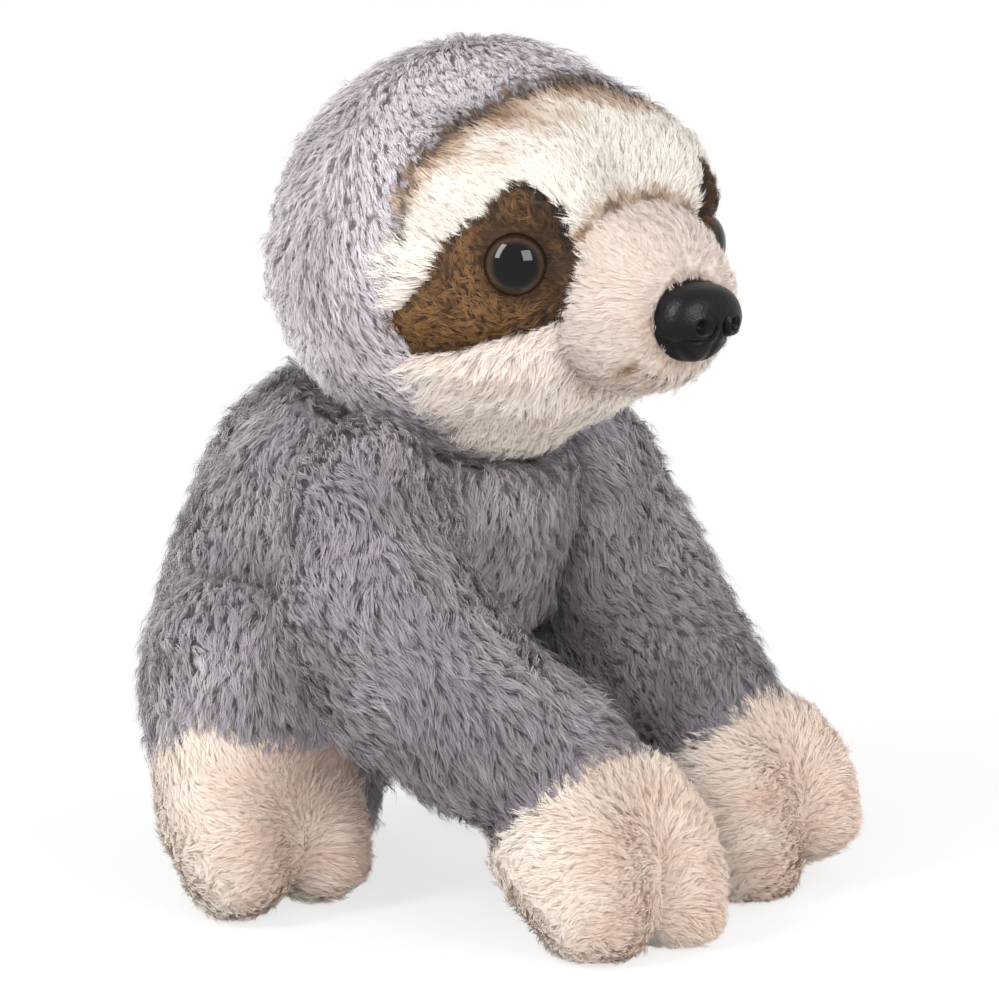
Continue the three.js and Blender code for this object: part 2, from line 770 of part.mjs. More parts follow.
const hip = new THREE.Vector3(hipSide, -hipForward, hipRise);
const legTop = new THREE.Vector3(legTopSide, -legTopForward, legTopRise);
const thigh = new THREE.Vector3(thighSide, -thighForward, thighRise);
const ankle = new THREE.Vector3(ankleSide, -ankleForward, ankleRise);

buildLimb(sloth, {
  names: { limb: 'leg', sleeve: 'leg_panel', end: 'foot' },
  form: {
    spine: [legTop, thigh, ankle],
    halfWidths: [legTopRadius, legMiddleRadius, legAnkleRadius],
    halfDepths: [legTopRadius, legMiddleRadius, legAnkleRadius],
    side: lateral,
    fullness: [legFullness, legFullness],
    rings: limbRings,
    sides: limbSides,
  },
  paw: { root: ankle, lift: footLift },
  paws: {
    right: { turnDegrees: footTurnDegrees, outerLift: 0 },
    left: { turnDegrees: footTurnDegrees, outerLift: 0 },
  },
  seam: new THREE.Vector3(0, 0, legSeamRise),
  seamDirection: up.clone().negate(),
  middle: new THREE.Vector3(legSeamSide, 0, 0),
  room: swept(torsoBody(-bodyClearance), hip, 0, legSwingDegrees),
});

export default sloth;
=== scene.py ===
"""A sitting plush sloth: sewn covers with long pile over fibre filling, safety eyes, a moulded nose and sewn
stitches. Metres, +Z up, the sloth facing -Y with its left side at +X."""
import json
import math

import bpy
import numpy as np
from mathutils import Matrix, Vector
from mathutils.bvhtree import BVHTree


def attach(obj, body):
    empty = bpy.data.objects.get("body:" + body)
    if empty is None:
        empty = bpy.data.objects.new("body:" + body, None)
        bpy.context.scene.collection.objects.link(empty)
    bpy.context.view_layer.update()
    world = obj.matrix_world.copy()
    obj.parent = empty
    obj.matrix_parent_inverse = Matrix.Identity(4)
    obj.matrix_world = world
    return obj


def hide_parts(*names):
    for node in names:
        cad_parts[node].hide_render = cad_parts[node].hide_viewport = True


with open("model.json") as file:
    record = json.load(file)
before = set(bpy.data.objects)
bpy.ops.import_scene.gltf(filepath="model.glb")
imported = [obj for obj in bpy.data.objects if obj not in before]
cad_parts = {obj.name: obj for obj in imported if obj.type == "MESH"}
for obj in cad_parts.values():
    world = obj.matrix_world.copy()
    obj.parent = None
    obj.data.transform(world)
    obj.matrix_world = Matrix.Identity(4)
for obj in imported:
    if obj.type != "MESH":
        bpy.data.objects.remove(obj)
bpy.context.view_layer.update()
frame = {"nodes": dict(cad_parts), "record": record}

scene = bpy.context.scene
MM = 0.001

# Camera: a long lens in front of the sloth's right side, aimed at its chest from a little above.
VIEW_AZIMUTH = math.radians(-57)
VIEW_ELEVATION = math.radians(10)
VIEW_DISTANCE = 0.9
VIEW_TARGET = Vector((0, -0.043, 0.084))
VIEW_DROP = 0.0059
SENSOR_WIDTH = 36
PICTURE_WIDTH = 0.1998
NEAREST_SEEN = 0.01

view_back = Vector((
    math.sin(VIEW_AZIMUTH) * math.cos(VIEW_ELEVATION),
    -math.cos(VIEW_AZIMUTH) * math.cos(VIEW_ELEVATION),
    math.sin(VIEW_ELEVATION),
))
view_right = Vector((math.cos(VIEW_AZIMUTH), math.sin(VIEW_AZIMUTH), 0))
view_up = view_back.cross(view_right)
bpy.ops.object.select_all(action="DESELECT")
bpy.ops.object.camera_add(location=VIEW_TARGET - view_up * VIEW_DROP + view_back * VIEW_DISTANCE)
camera = bpy.context.object
camera.rotation_euler = Matrix((view_right, view_up, view_back)).transposed().to_euler()
camera.data.sensor_width = SENSOR_WIDTH
camera.data.lens = VIEW_DISTANCE * SENSOR_WIDTH / PICTURE_WIDTH
camera.data.clip_start = NEAREST_SEEN
scene.camera = camera

# Studio: a pale floor that shows white to the camera except where the sloth shades it, soft lamps all round,
# and two bright panels that only show in the eyes and the nose.
FLOOR_SIZE = 6
FLOOR_WHITE_NEAR = 0.72
FLOOR_NEAR = 0.1
FLOOR_FAR = 0.28
SKY_STRENGTH = 0.72
WHITE = (1, 1, 1, 1)
LAMPS = {
    "key_lamp": {"place": (-0.97, 0.3, 0.9), "wide": 0.4, "tall": 0.6, "power": 11},
    "front_lamp": {"place": (-0.45, -1.2, 0.7), "wide": 0.6, "tall": 0.6, "power": 6.5},
    "low_lamp": {"place": (-1.2, -0.6, 0.15), "wide": 0.8, "tall": 0.8, "power": 7},
    "side_lamp": {"place": (0.7, -0.9, 0.5), "wide": 0.8, "tall": 0.8, "power": 3},
    "key_panel": {"place": (-0.87, 0.27, 0.82), "wide": 0.36, "tall": 0.85, "power": 18},
    "front_panel": {"place": (-0.41, -1.1, 0.64), "wide": 0.6, "tall": 0.6, "power": 14},
}


def set_inputs(node, inputs):
    """Gives a node's sockets their values, or links them to other nodes' outputs."""
    for socket, value in inputs.items():
        if isinstance(value, bpy.types.NodeSocket):
            node.id_data.links.new(value, node.inputs[socket])
        else:
            node.inputs[socket].default_value = value


def add_node(tree, kind, inputs=(), **settings):
    """A new shader node with its settings made and its inputs fed."""
    node = tree.nodes.new("ShaderNode" + kind)
    for name, value in settings.items():
        setattr(node, name, value)
    set_inputs(node, dict(inputs))
    return node


def shown_rays(tree):
    """1 for the rays that show the background: the camera's, and those that gloss and glass send on."""
    rays = add_node(tree, "LightPath").outputs
    shown = rays["Is Camera Ray"]
    for kind in ("Is Glossy Ray", "Is Transmission Ray"):
        shown = add_node(tree, "Math", {0: shown, 1: rays[kind]}, operation="MAXIMUM").outputs[0]
    return shown


def new_paint(name):
    """A new material, its node tree and its main shader."""
    paint = bpy.data.materials.new(name)
    paint.use_nodes = True
    return paint, paint.node_tree, paint.node_tree.nodes["Principled BSDF"]


def object_place(tree):
    """Where the shaded point lies on the object."""
    return add_node(tree, "TexCoord").outputs["Object"]


world = bpy.data.worlds.new("studio_light")
scene.world = world
world.use_nodes = True
tree = world.node_tree
tree.nodes.clear()
sky_light = add_node(tree, "Background", {"Color": WHITE, "Strength": SKY_STRENGTH})
sky_seen = add_node(tree, "Background", {"Color": WHITE})
sky_mix = add_node(tree, "MixShader", {0: shown_rays(tree), 1: sky_light.outputs[0], 2: sky_seen.outputs[0]})
add_node(tree, "OutputWorld", {0: sky_mix.outputs[0]})

bpy.ops.mesh.primitive_plane_add(size=FLOOR_SIZE)
floor = bpy.context.object
floor.name = "floor"
floor_paint, tree, shader = new_paint("floor_paint")
set_inputs(shader, {"Base Color": (0.9, 0.9, 0.9, 1), "Roughness": 0.9})
floor_offset = add_node(tree, "VectorMath", {0: object_place(tree)}, operation="LENGTH").outputs["Value"]
floor_fade = add_node(tree, "MapRange", {
    "Value": floor_offset, "From Min": FLOOR_NEAR, "From Max": FLOOR_FAR, "To Min": FLOOR_WHITE_NEAR,
}, interpolation_type="SMOOTHSTEP")
floor_share = add_node(tree, "Math", {0: shown_rays(tree), 1: floor_fade.outputs[0]}, operation="MULTIPLY")
floor_white = add_node(tree, "Emission", {"Color": WHITE})
floor_mix = add_node(tree, "MixShader", {
    0: floor_share.outputs[0], 1: shader.outputs[0], 2: floor_white.outputs[0],
})
set_inputs(tree.nodes["Material Output"], {"Surface": floor_mix.outputs[0]})
floor.data.materials.append(floor_paint)

for lamp_name, lamp in LAMPS.items():
    bpy.ops.object.light_add(type="AREA", location=lamp["place"])
    light = bpy.context.object
    light.name = lamp_name
    light.data.shape = "RECTANGLE"
    light.data.size = lamp["wide"]
    light.data.size_y = lamp["tall"]
    light.data.energy = lamp["power"]
    light.visible_glossy = lamp_name.endswith("panel")
    light.visible_diffuse = lamp_name.endswith("lamp")
    light.rotation_euler = (Vector(lamp["place"]) - VIEW_TARGET).to_track_quat("Z", "Y").to_euler()
scene.view_settings.view_transform = "Standard"

# Torso: four panels of long plush (two backs, a chest and a seat), sewn edge to edge over the filling. The
# panels of a body are drawn from one stuffed form, parted at the seams, and each gets a knitted ground and a
# combed pile. Sinks, laps and pile sizes are in millimetres.
TORSO_SINK = {"back_panel_right": 1.0, "back_panel_left": 1.0, "chest_panel": 2.2, "seat_panel": 1.0}
BELLY_DENT = 1.5 * MM
FORM_VOXEL = 1.8 * MM
FORM_SMOOTHING = 12
WELD_GAP = 0.01 * MM
SINK_BLEND = 1.6 * MM
SEAM_DEPTH = 0.8 * MM
SEAM_WIDTH = 2.2 * MM
FLOOR_LEVEL = 0.3 * MM
WALL_LEAST = 1.8 * MM
CLOSE_GAP = 3 * MM
CLEAR_GAP = 11 * MM
FILL_ROUNDS = 220
FILL_STEP = 0.7
SHEET_THICKNESS = 0.8 * MM
ROOT_DEPTH = 0.15 * MM
FLOOR_CLEARANCE = 0.2 * MM
MOST_ROOM = 0.05
PILE_REACH = 0.014
LEAST_SLOPE = 0.05
LEAST_LIFT = 0.12
# How far the painted shade in the creases between bodies reaches.
CREASE_SHADE_WIDTH = 4 * MM
SHADED_HEIGHT = 0.8
BODY_TONES = [(0, (0.23, 0.205, 0.23)), (0.5, (0.4, 0.36, 0.395)), (1, (0.62, 0.575, 0.615))]
# Crease is how much painted shade darkens the pile where it lies close to another body.
BODY_PILE = {
    "tufts": 0.7, "strands": 12, "spread": 1.05, "length": 4.6, "width": 0.15, "lift": 0.58,
    "gather": 0.6, "curl": 0.12, "swirl": 0.42, "even": 0.8, "mottle": 0.06, "crease": 0.4,
}


def select_alone(piece):
    bpy.ops.object.select_all(action="DESELECT")
    piece.select_set(True)
    bpy.context.view_layer.objects.active = piece


def new_piece(name, mesh):
    """An object for a mesh, selected alone."""
    piece = bpy.data.objects.new(name, mesh)
    scene.collection.objects.link(piece)
    select_alone(piece)
    return piece


def apply_modifier(piece, kind, **settings):
    modifier = piece.modifiers.new(kind.lower(), kind)
    for key, value in settings.items():
        setattr(modifier, key, value)
    select_alone(piece)
    bpy.ops.object.modifier_apply(modifier=modifier.name)


def merged_copy(name, node_names):
    """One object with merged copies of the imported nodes' meshes."""
    copies = []
    for node_name in node_names:
        copy = new_piece(node_name + "_copy", frame["nodes"][node_name].data.copy())
        copy.data.materials.clear()
        copies.append(copy)
    for copy in copies:
        copy.select_set(True)
    bpy.context.view_layer.objects.active = copies[0]
    bpy.ops.object.join()
    whole = bpy.context.object
    whole.name = name
    bpy.ops.object.mode_set(mode="EDIT")
    bpy.ops.mesh.select_all(action="SELECT")
    bpy.ops.mesh.remove_doubles(threshold=WELD_GAP)
    bpy.ops.object.mode_set(mode="OBJECT")
    return whole


def search_tree(meshes):
    """The faces of some meshes, to measure from."""
    corners, faces = [], []
    for mesh in meshes:
        start = len(corners)
        corners.extend(vertex.co.copy() for vertex in mesh.vertices)
        faces.extend([start + index for index in face.vertices] for face in mesh.polygons)
    return BVHTree.FromPolygons(corners, faces)


def mesh_arrays(mesh):
    """A quad mesh's points, point normals and faces."""
    places = np.empty(len(mesh.vertices) * 3)
    mesh.vertices.foreach_get("co", places)
    normals = np.empty(len(mesh.vertices) * 3)
    mesh.vertex_normals.foreach_get("vector", normals)
    faces = np.empty(len(mesh.loops), int)
    mesh.loops.foreach_get("vertex_index", faces)
    return places.reshape(-1, 3), normals.reshape(-1, 3), faces.reshape(-1, 4)


def largest_shell(places, faces):
    """The faces of the largest closed shell: a remesh leaves small bubbles inside."""
    label = np.arange(len(places))
    while True:
        low = label[faces].min(axis=1)
        renewed = label.copy()
        for corner in range(4):
            np.minimum.at(renewed, faces[:, corner], low)
        renewed = renewed[renewed]
        if (renewed == label).all():
            break
        label = renewed
    names, counts = np.unique(label[faces[:, 0]], return_counts=True)
    return faces[label[faces[:, 0]] == names[counts.argmax()]]


def distances(tree, places):
    """How far each place lies from the faces of a search tree."""
    return np.array([tree.find_nearest(Vector(place))[3] for place in places])


def unit(vectors):
    return vectors / (np.linalg.norm(vectors, axis=-1, keepdims=True) + 1e-12)


def near(distance, width):
    """1 at no distance, fading over a width to either side."""
    return np.exp(-((distance / width) ** 2))


def rising(value, start, width):
    """0 up to a start, then growing to 1 over a width."""
    return np.clip((value - start) / width, 0, 1)


def falling(value, end, width):
    """0 from an end on, and 1 a width before it."""
    return np.clip((end - value) / width, 0, 1)


def soft_noise(places, size, seed):
    """A smooth wandering value of about -1 to 1 that repeats over roughly size metres."""
    rng = np.random.default_rng(seed)
    value = np.zeros(len(places))
    for _ in range(7):
        wave = unit(rng.normal(size=3)) * 2 * math.pi / (size * rng.uniform(0.7, 1.6))
        value += np.sin(places @ wave + rng.uniform(0, 2 * math.pi))
    return value / 2.6


def ray_gap(tree, places, directions, limit):
    """How far each place sees in its direction before the faces of a search tree: infinity past a limit."""
    hits = [tree.ray_cast(Vector(place), Vector(way), limit)[3] for place, way in zip(places, directions)]
    return np.array([np.inf if hit is None else hit for hit in hits])


def wall_room(places, normals, faces):
    """How deep each place may sink: half of what the form holds under it, less what its sheets need."""
    tree = BVHTree.FromPolygons(places.tolist(), faces.tolist())
    wall = ray_gap(tree, places - normals * ROOT_DEPTH, -normals, 2 * CLEAR_GAP)
    return np.where(np.isinf(wall), CLEAR_GAP, np.maximum(0, (wall - WALL_LEAST) / 2))


def body_gap(body, places):
    """How far each place lies from the nearest other body."""
    gap = np.full(len(places), CLEAR_GAP)
    for name, tree in body_trees.items():
        if name != body:
            hits = [tree.find_nearest(Vector(place), CLEAR_GAP)[3] for place in places]
            gap = np.minimum(gap, [CLEAR_GAP if hit is None else hit for hit in hits])
    return gap


def outward(places, faces):
    """Point normals of a quad mesh."""
    turned = np.cross(places[faces[:, 2]] - places[faces[:, 0]], places[faces[:, 3]] - places[faces[:, 1]])
    normals = np.zeros_like(places)
    for corner in range(4):
        np.add.at(normals, faces[:, corner], turned)
    return unit(normals)


def fill_hollows(places, faces, share):
    """Stuffs the creases out: each place moves towards the middle of its neighbours, but never inwards."""
    starts = faces.ravel()
    ends = np.roll(faces, -1, axis=1).ravel()
    neighbours = np.bincount(starts, minlength=len(places))[:, None]
    for _ in range(FILL_ROUNDS):
        sums = [np.bincount(starts, weights=places[ends, axis], minlength=len(places)) for axis in range(3)]
        middle = np.stack(sums, axis=1) / neighbours
        normals = outward(places, faces)
        rise = ((middle - places) * normals).sum(axis=1)
        places = places + normals * (FILL_STEP * share * np.maximum(rise, 0))[:, None]
    return places


def stuffed_form(body, sink, voxel=FORM_VOXEL, lap=None, proud=None, dent=None, full=()):
    """The smooth outside of a body under its pile, with each face's panel. Sink gives how deep each panel
    lies and lap how far panels reach over their seams, the panels in proud stand up there, dent gives a
    further depth, and those in full have no creases."""
    panels = list(sink)
    filling = [node for node in frame["record"]["behaviour"]["bodies"][body] if "_stuffing" in node]
    form = merged_copy(f"{body}_form", panels + filling)
    apply_modifier(form, "REMESH", mode="VOXEL", voxel_size=voxel)
    apply_modifier(form, "SMOOTH", factor=0.5, iterations=FORM_SMOOTHING)
    places, normals, faces = mesh_arrays(form.data)
    faces = largest_shell(places, faces)
    used, faces = np.unique(faces, return_inverse=True)
    faces = faces.reshape(-1, 4)
    places, normals = places[used], normals[used]
    bpy.data.objects.remove(form)
    gaps = np.array([distances(node_trees[panel], places) for panel in panels])
    shares = np.exp(-gaps / SINK_BLEND)
    depth = (shares * np.array(list(sink.values()))[:, None]).sum(axis=0) / shares.sum(axis=0) * MM
    if lap is not None:
        laps = lap(places)
        gaps -= np.array([laps.get(panel, 0) + 0 * gaps[0] for panel in panels]) * MM
    if proud is not None:
        raised = np.array([panel in proud["panels"] for panel in panels])
        inside = gaps[~raised].min(axis=0) - gaps[raised].min(axis=0)
        depth -= np.where(inside > 0, proud["height"] * near(inside, proud["width"]), 0) * MM
    owner = gaps[:, faces].mean(axis=2).argmin(axis=0)
    nearest = np.sort(gaps, axis=0)[:2]
    depth += SEAM_DEPTH * near(nearest[1] - nearest[0], SEAM_WIDTH)
    if dent is not None:
        depth += dent(places, normals)
    close = np.clip((body_gap(body, places) - CLOSE_GAP) / (CLEAR_GAP - CLOSE_GAP), 0.1, 1)
    depth = np.minimum(depth, wall_room(places, normals, faces))
    places = places - normals * (depth * close)[:, None]
    if full:
        stuffed = shares[[panels.index(panel) for panel in full]].sum(axis=0) / shares.sum(axis=0)
        places = fill_hollows(places, faces, stuffed)
    places[:, 2] = np.maximum(places[:, 2], FLOOR_LEVEL)
    form = {"body": body, "panels": panels, "places": places, "faces": faces, "owner": owner}
    form["normals"] = outward(places, faces)
    forms[body] = form
    return form


def panel_faces(form, panels):
    """The faces of a form that some of its panels cover."""
    return form["faces"][np.isin(form["owner"], [form["panels"].index(panel) for panel in panels])]


def region_tree(form, panels):
    """The part of a form that some of its panels cover, to measure from."""
    return BVHTree.FromPolygons(form["places"].tolist(), panel_faces(form, panels).tolist())


def cut_sheet(form, panel, plush):
    """One panel's knitted ground: its part of the form with the sheet's thickness inwards."""
    used, faces = np.unique(panel_faces(form, [panel]), return_inverse=True)
    mesh = bpy.data.meshes.new(panel)
    mesh.from_pydata(form["places"][used].tolist(), [], faces.reshape(-1, 4).tolist())
    piece = new_piece(f"{panel}_sheet", mesh)
    apply_modifier(piece, "SOLIDIFY", thickness=SHEET_THICKNESS, offset=-1, use_rim=True)
    bpy.ops.object.shade_smooth()
    piece.data.materials.append(plush["ground"])
    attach(piece, form["body"])
    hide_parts(panel)


def free_height(body, places, normals):
    """How far the pile may stand at each place before it meets the pile of another body or the floor."""
    room = np.full(len(places), MOST_ROOM)
    for name, tree in body_trees.items():
        if name != body:
            room = np.minimum(room, (ray_gap(tree, places, normals, PILE_REACH) + 2 * MM) / 2)
    down = np.maximum(-normals[:, 2], LEAST_SLOPE)
    return np.minimum(room, np.maximum(places[:, 2] - FLOOR_CLEARANCE, 0.1 * MM) / down)


def dress_panel(form, panel, plush, flow, tone, seed, trim=None, bare=None):
    """A panel's ground and its pile. Flow gives the pile's direction, tone its colour, trim its length and
    bare the places that have none."""
    cut_sheet(form, panel, plush)
    lay_pile(form, panel, plush, flow, tone, seed, trim, bare)


def tuft_roots(form, panel, density, rng):
    """Where the tufts of a panel stand, even by area, and which way its ground faces there."""
    faces = panel_faces(form, [panel])
    triangles = np.concatenate([faces[:, [0, 1, 2]], faces[:, [0, 2, 3]]])
    a, b, c = (form["places"][triangles[:, i]] for i in range(3))
    area = np.linalg.norm(np.cross(b - a, c - a), axis=1) / 2
    counts = np.floor(area * density / MM**2 + rng.random(len(area))).astype(int)
    corners = triangles[np.repeat(np.arange(len(area)), counts)]
    first = np.sqrt(rng.random(len(corners)))[:, None]
    second = rng.random(len(corners))[:, None]
    weights = (1 - first, first * (1 - second), first * second)
    centres = sum(weight * form["places"][corners[:, i]] for i, weight in enumerate(weights))
    normals = unit(sum(weight * form["normals"][corners[:, i]] for i, weight in enumerate(weights)))
    return centres, normals


def combed(centres, normals, flow, swirl, seed, rng):
    """The direction that each tuft lies in along flow, with its swirls, and the direction across it."""
    ahead = flow(centres, normals)
    ahead = ahead - normals * (ahead * normals).sum(axis=1, keepdims=True)
    ahead = unit(ahead + 1e-5)
    turn = swirl * soft_noise(centres, 22 * MM, seed + 1) + swirl * 0.25 * rng.normal(size=len(centres))
    turn += 0.5 * swirl * soft_noise(centres, 7 * MM, seed + 2)
    across = np.cross(normals, ahead)
    ahead = ahead * np.cos(turn)[:, None] + across * np.sin(turn)[:, None]
    return ahead, np.cross(normals, ahead)


def pile_mesh(name, points, shading, tones):
    """Two triangles a ribbon, with its tone and its height along the fibre in its map."""
    count = len(points)
    mesh = bpy.data.meshes.new(name)
    mesh.vertices.add(count * 4)
    mesh.vertices.foreach_set("co", points.ravel())
    mesh.loops.add(count * 6)
    mesh.loops.foreach_set("vertex_index", (np.arange(count)[:, None] * 4 + (0, 2, 1, 1, 2, 3)).ravel())
    mesh.polygons.add(count * 2)
    mesh.polygons.foreach_set("loop_start", np.arange(count * 2) * 3)
    mesh.polygons.foreach_set("use_smooth", np.ones(count * 2, bool))
    u = tones[:, None] + np.array((0, 3, -3, -3, 3, 0)) * MM
    v = np.broadcast_to((0.02, 0.5, 0.5, 0.5, 0.5, 0.98), (count, 6))
    layer = mesh.uv_layers.new(name="OFBake")
    layer.data.foreach_set("uv", np.stack([u, v], axis=2).astype(np.float32).ravel())
    mesh.update()
    mesh.attributes.new("custom_normal", "FLOAT_VECTOR", "POINT")
    mesh.attributes["custom_normal"].data.foreach_set("vector", shading.astype(np.float32).ravel())
    return mesh


def lay_pile(form, panel, plush, flow, tone, seed, trim, bare):
    """Tufts of fine ribbons rooted in a panel's ground, combed along it and gathered to their tips."""
    rng = np.random.default_rng(seed)
    pile = plush["pile"]
    centres, normals = tuft_roots(form, panel, pile["tufts"], rng)
    if bare is not None:
        kept = ~bare(centres)
        centres, normals = centres[kept], normals[kept]
    tufts = len(centres)
    ahead, across = combed(centres, normals, flow, pile["swirl"], seed, rng)
    length = pile["length"] * MM * (1 + 0.16 * rng.normal(size=tufts)).clip(0.6, 1.4)
    length *= 1 + 0.12 * soft_noise(centres, 12 * MM, seed + 3)
    if trim is not None:
        length = length * trim(centres)
    lift = pile["lift"] * (1 + 0.2 * rng.normal(size=tufts)).clip(0.4, 1.7)
    lift = np.minimum(lift, free_height(form["body"], centres, normals) / length).clip(LEAST_LIFT)
    curl = pile["curl"] * rng.normal(size=tufts)
    # Painted shade: the pile is made darker where it lies close to another body, in the creases between parts.
    crease_shade = pile["crease"] * near(body_gap(form["body"], centres), CREASE_SHADE_WIDTH)
    shade = np.clip(tone(centres, normals) - crease_shade + pile["mottle"] * rng.normal(size=tufts), 0.01, 0.99)

    # Each tuft's strands: a root, a bend and a tip, with the middle points a ribbon's width apart.
    count = tufts * pile["strands"]
    spot = np.repeat(np.arange(tufts), pile["strands"])
    radius = pile["spread"] * MM * np.sqrt(rng.random(count))
    angle = rng.uniform(0, 2 * math.pi, count)
    aside, onward = (radius * np.cos(angle))[:, None], (radius * np.sin(angle))[:, None]
    shift = across[spot] * aside + ahead[spot] * onward
    own_length = (length[spot] * rng.uniform(0.7, 1.08, count))[:, None]
    up, along, side = normals[spot], ahead[spot], across[spot]
    rise = lift[spot][:, None]
    bend = curl[spot][:, None]
    root = centres[spot] + shift - up * ROOT_DEPTH
    stray = rng.normal(size=(count, 3)) * own_length * 0.05
    settle = rng.uniform(0.55, 1.15, count)[:, None]
    middle = root + own_length * (up * rise * 0.9 + along * 0.36 + side * bend * 0.25) + stray * 0.3
    tip = root + own_length * (up * rise * settle + along * 0.9 + side * bend * 1.2) + stray
    middle -= shift * pile["gather"] * 0.4
    tip -= shift * pile["gather"]
    spine = unit(tip - middle)
    broad = unit(np.cross(spine, up))
    thin = np.cross(broad, spine)
    roll = rng.uniform(-0.6, 0.6, count)[:, None]
    breadth = pile["width"] * MM * 0.5 * rng.uniform(0.7, 1.3, count)[:, None]
    half = (broad * np.cos(roll) + thin * np.sin(roll)) * breadth
    points = np.stack([root, middle - half, middle + half, tip], axis=1)
    points[:, :, 2] = np.maximum(points[:, :, 2], FLOOR_CLEARANCE)
    facing = unit(thin * np.cos(roll) - broad * np.sin(roll))
    leaning = unit(up * pile["even"] + facing * 0.6)
    shading = np.stack([up, leaning, leaning, leaning], axis=1)
    strand_tones = np.clip(shade[spot] + pile["mottle"] * rng.normal(size=count), 0.01, 0.99)
    piece = new_piece(f"{panel}_pile", pile_mesh(f"{panel}_pile", points, shading, strand_tones))
    piece.data.materials.append(plush["fibres"])
    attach(piece, form["body"])


def new_group(name, inputs, outputs):
    """A shader node group with named sockets, what it is given, and the node that takes its results."""
    group = bpy.data.node_groups.new(name, "ShaderNodeTree")
    for in_out, sockets in (("INPUT", inputs), ("OUTPUT", outputs)):
        for socket, kind in sockets.items():
            group.interface.new_socket(socket, in_out=in_out, socket_type="NodeSocket" + kind)
    return group, group.nodes.new("NodeGroupInput").outputs, group.nodes.new("NodeGroupOutput")


def times(tree, colour, shade):
    """A colour made darker or lighter."""
    settings = {"data_type": "RGBA", "blend_type": "MULTIPLY"}
    return add_node(tree, "Mix", {"Factor": 1, "A": colour, "B": shade}, **settings).outputs["Result"]


def add_ramp(tree, factor, stops, interpolation="LINEAR"):
    """The colour output of a ramp with stops of a position and a colour."""
    node = add_node(tree, "ValToRGB", {0: factor})
    ramp = node.color_ramp
    ramp.interpolation = interpolation
    while len(ramp.elements) < len(stops):
        ramp.elements.new(0.5)
    for element, (position, colour) in zip(ramp.elements, stops):
        element.position = position
        element.color = (*colour, 1)
    return node.outputs[0]


def pile_fibres():
    """What every pile's fibres share: painted root shade, streaks from one to the next and glossier tips."""
    group, given, results = new_group(
        "pile_fibres", {"Colour": "Color", "Map": "Vector", "Root Shade": "Float", "Streaks": "Float"},
        {"Colour": "Color", "Roughness": "Float"},
    )
    height = add_node(group, "SeparateXYZ", {0: given["Map"]}).outputs[1]
    # Painted shade: each fibre darkens from SHADED_HEIGHT of its length down to Root Shade at its root.
    depth = add_node(group, "MapRange", {
        "Value": height, "From Max": SHADED_HEIGHT, "To Min": given["Root Shade"],
    })
    stretch = add_node(group, "VectorMath", {0: given["Map"], 1: (90, 3, 1)}, operation="MULTIPLY")
    noise = add_node(group, "TexNoise", {"Vector": stretch.outputs[0], "Scale": 1})
    least = add_node(group, "Math", {0: 1, 1: given["Streaks"]}, operation="SUBTRACT")
    most = add_node(group, "Math", {0: 1, 1: given["Streaks"]}, operation="ADD")
    streak = add_node(group, "MapRange", {
        "Value": noise.outputs["Fac"], "To Min": least.outputs[0], "To Max": most.outputs[0],
    })
    shine = add_node(group, "MapRange", {"Value": height, "To Min": 0.85, "To Max": 0.6})
    shaded = times(group, given["Colour"], depth.outputs[0])
    set_inputs(results, {"Colour": times(group, shaded, streak.outputs[0]), "Roughness": shine.outputs[0]})
    return group


def yarn_ridges(name, direction, scale, distortion, darkest, fibres=None):
    """What cloths or threads share: ridges of yarn, in lighter and darker shades by ridge or by fibre."""
    group, given, results = new_group(
        name, {"Colour": "Color", "Place": "Vector"}, {"Colour": "Color", "Height": "Float"},
    )
    ridges = add_node(group, "TexWave", {
        "Vector": given["Place"], "Scale": scale, "Distortion": distortion,
    }, bands_direction=direction).outputs["Fac"]
    pattern = ridges
    if fibres is not None:
        pattern = add_node(group, "TexNoise", {"Vector": given["Place"], "Scale": fibres}).outputs["Fac"]
    shade = add_node(group, "MapRange", {"Value": pattern, "To Min": darkest})
    set_inputs(results, {"Colour": times(group, given["Colour"], shade.outputs[0]), "Height": ridges})
    return group


def pile_paint(name, tones, root_shade, sheen, streaks):
    """Fibre colour by tone, read from the pile's own map."""
    paint, tree, shader = new_paint(name)
    fibre_map = add_node(tree, "UVMap", uv_map="OFBake").outputs[0]
    tone = add_node(tree, "SeparateXYZ", {0: fibre_map}).outputs[0]
    fibres = add_node(tree, "Group", {
        "Colour": add_ramp(tree, tone, tones), "Map": fibre_map, "Root Shade": root_shade,
        "Streaks": streaks,
    }, node_tree=fibre_shades).outputs
    set_inputs(shader, {
        "Base Color": fibres["Colour"], "Roughness": fibres["Roughness"], "Sheen Weight": sheen,
        "Sheen Roughness": 0.5, "Specular IOR Level": 0.3,
    })
    return paint


def add_bump(tree, shader, height, distance, strength=1):
    """Raises a surface by a pattern."""
    bump = add_node(tree, "Bump", {"Height": height, "Distance": distance, "Strength": strength})
    set_inputs(shader, {"Normal": bump.outputs[0]})


def yarn_paint(name, colour, yarn, height, strength, roughness):
    """Cloth or thread of one colour, in ridges of its yarn."""
    paint, tree, shader = new_paint(name)
    ridges = add_node(tree, "Group", {
        "Colour": (*colour, 1), "Place": object_place(tree),
    }, node_tree=yarn).outputs
    set_inputs(shader, {"Base Color": ridges["Colour"], "Roughness": roughness})
    add_bump(tree, shader, ridges["Height"], height, strength=strength)
    return paint


def knit_paint(name, colour):
    """The knitted ground between the roots, in fine courses of loops."""
    return yarn_paint(name, colour, knitted_loops, 0.2 * MM, 0.5, 0.95)


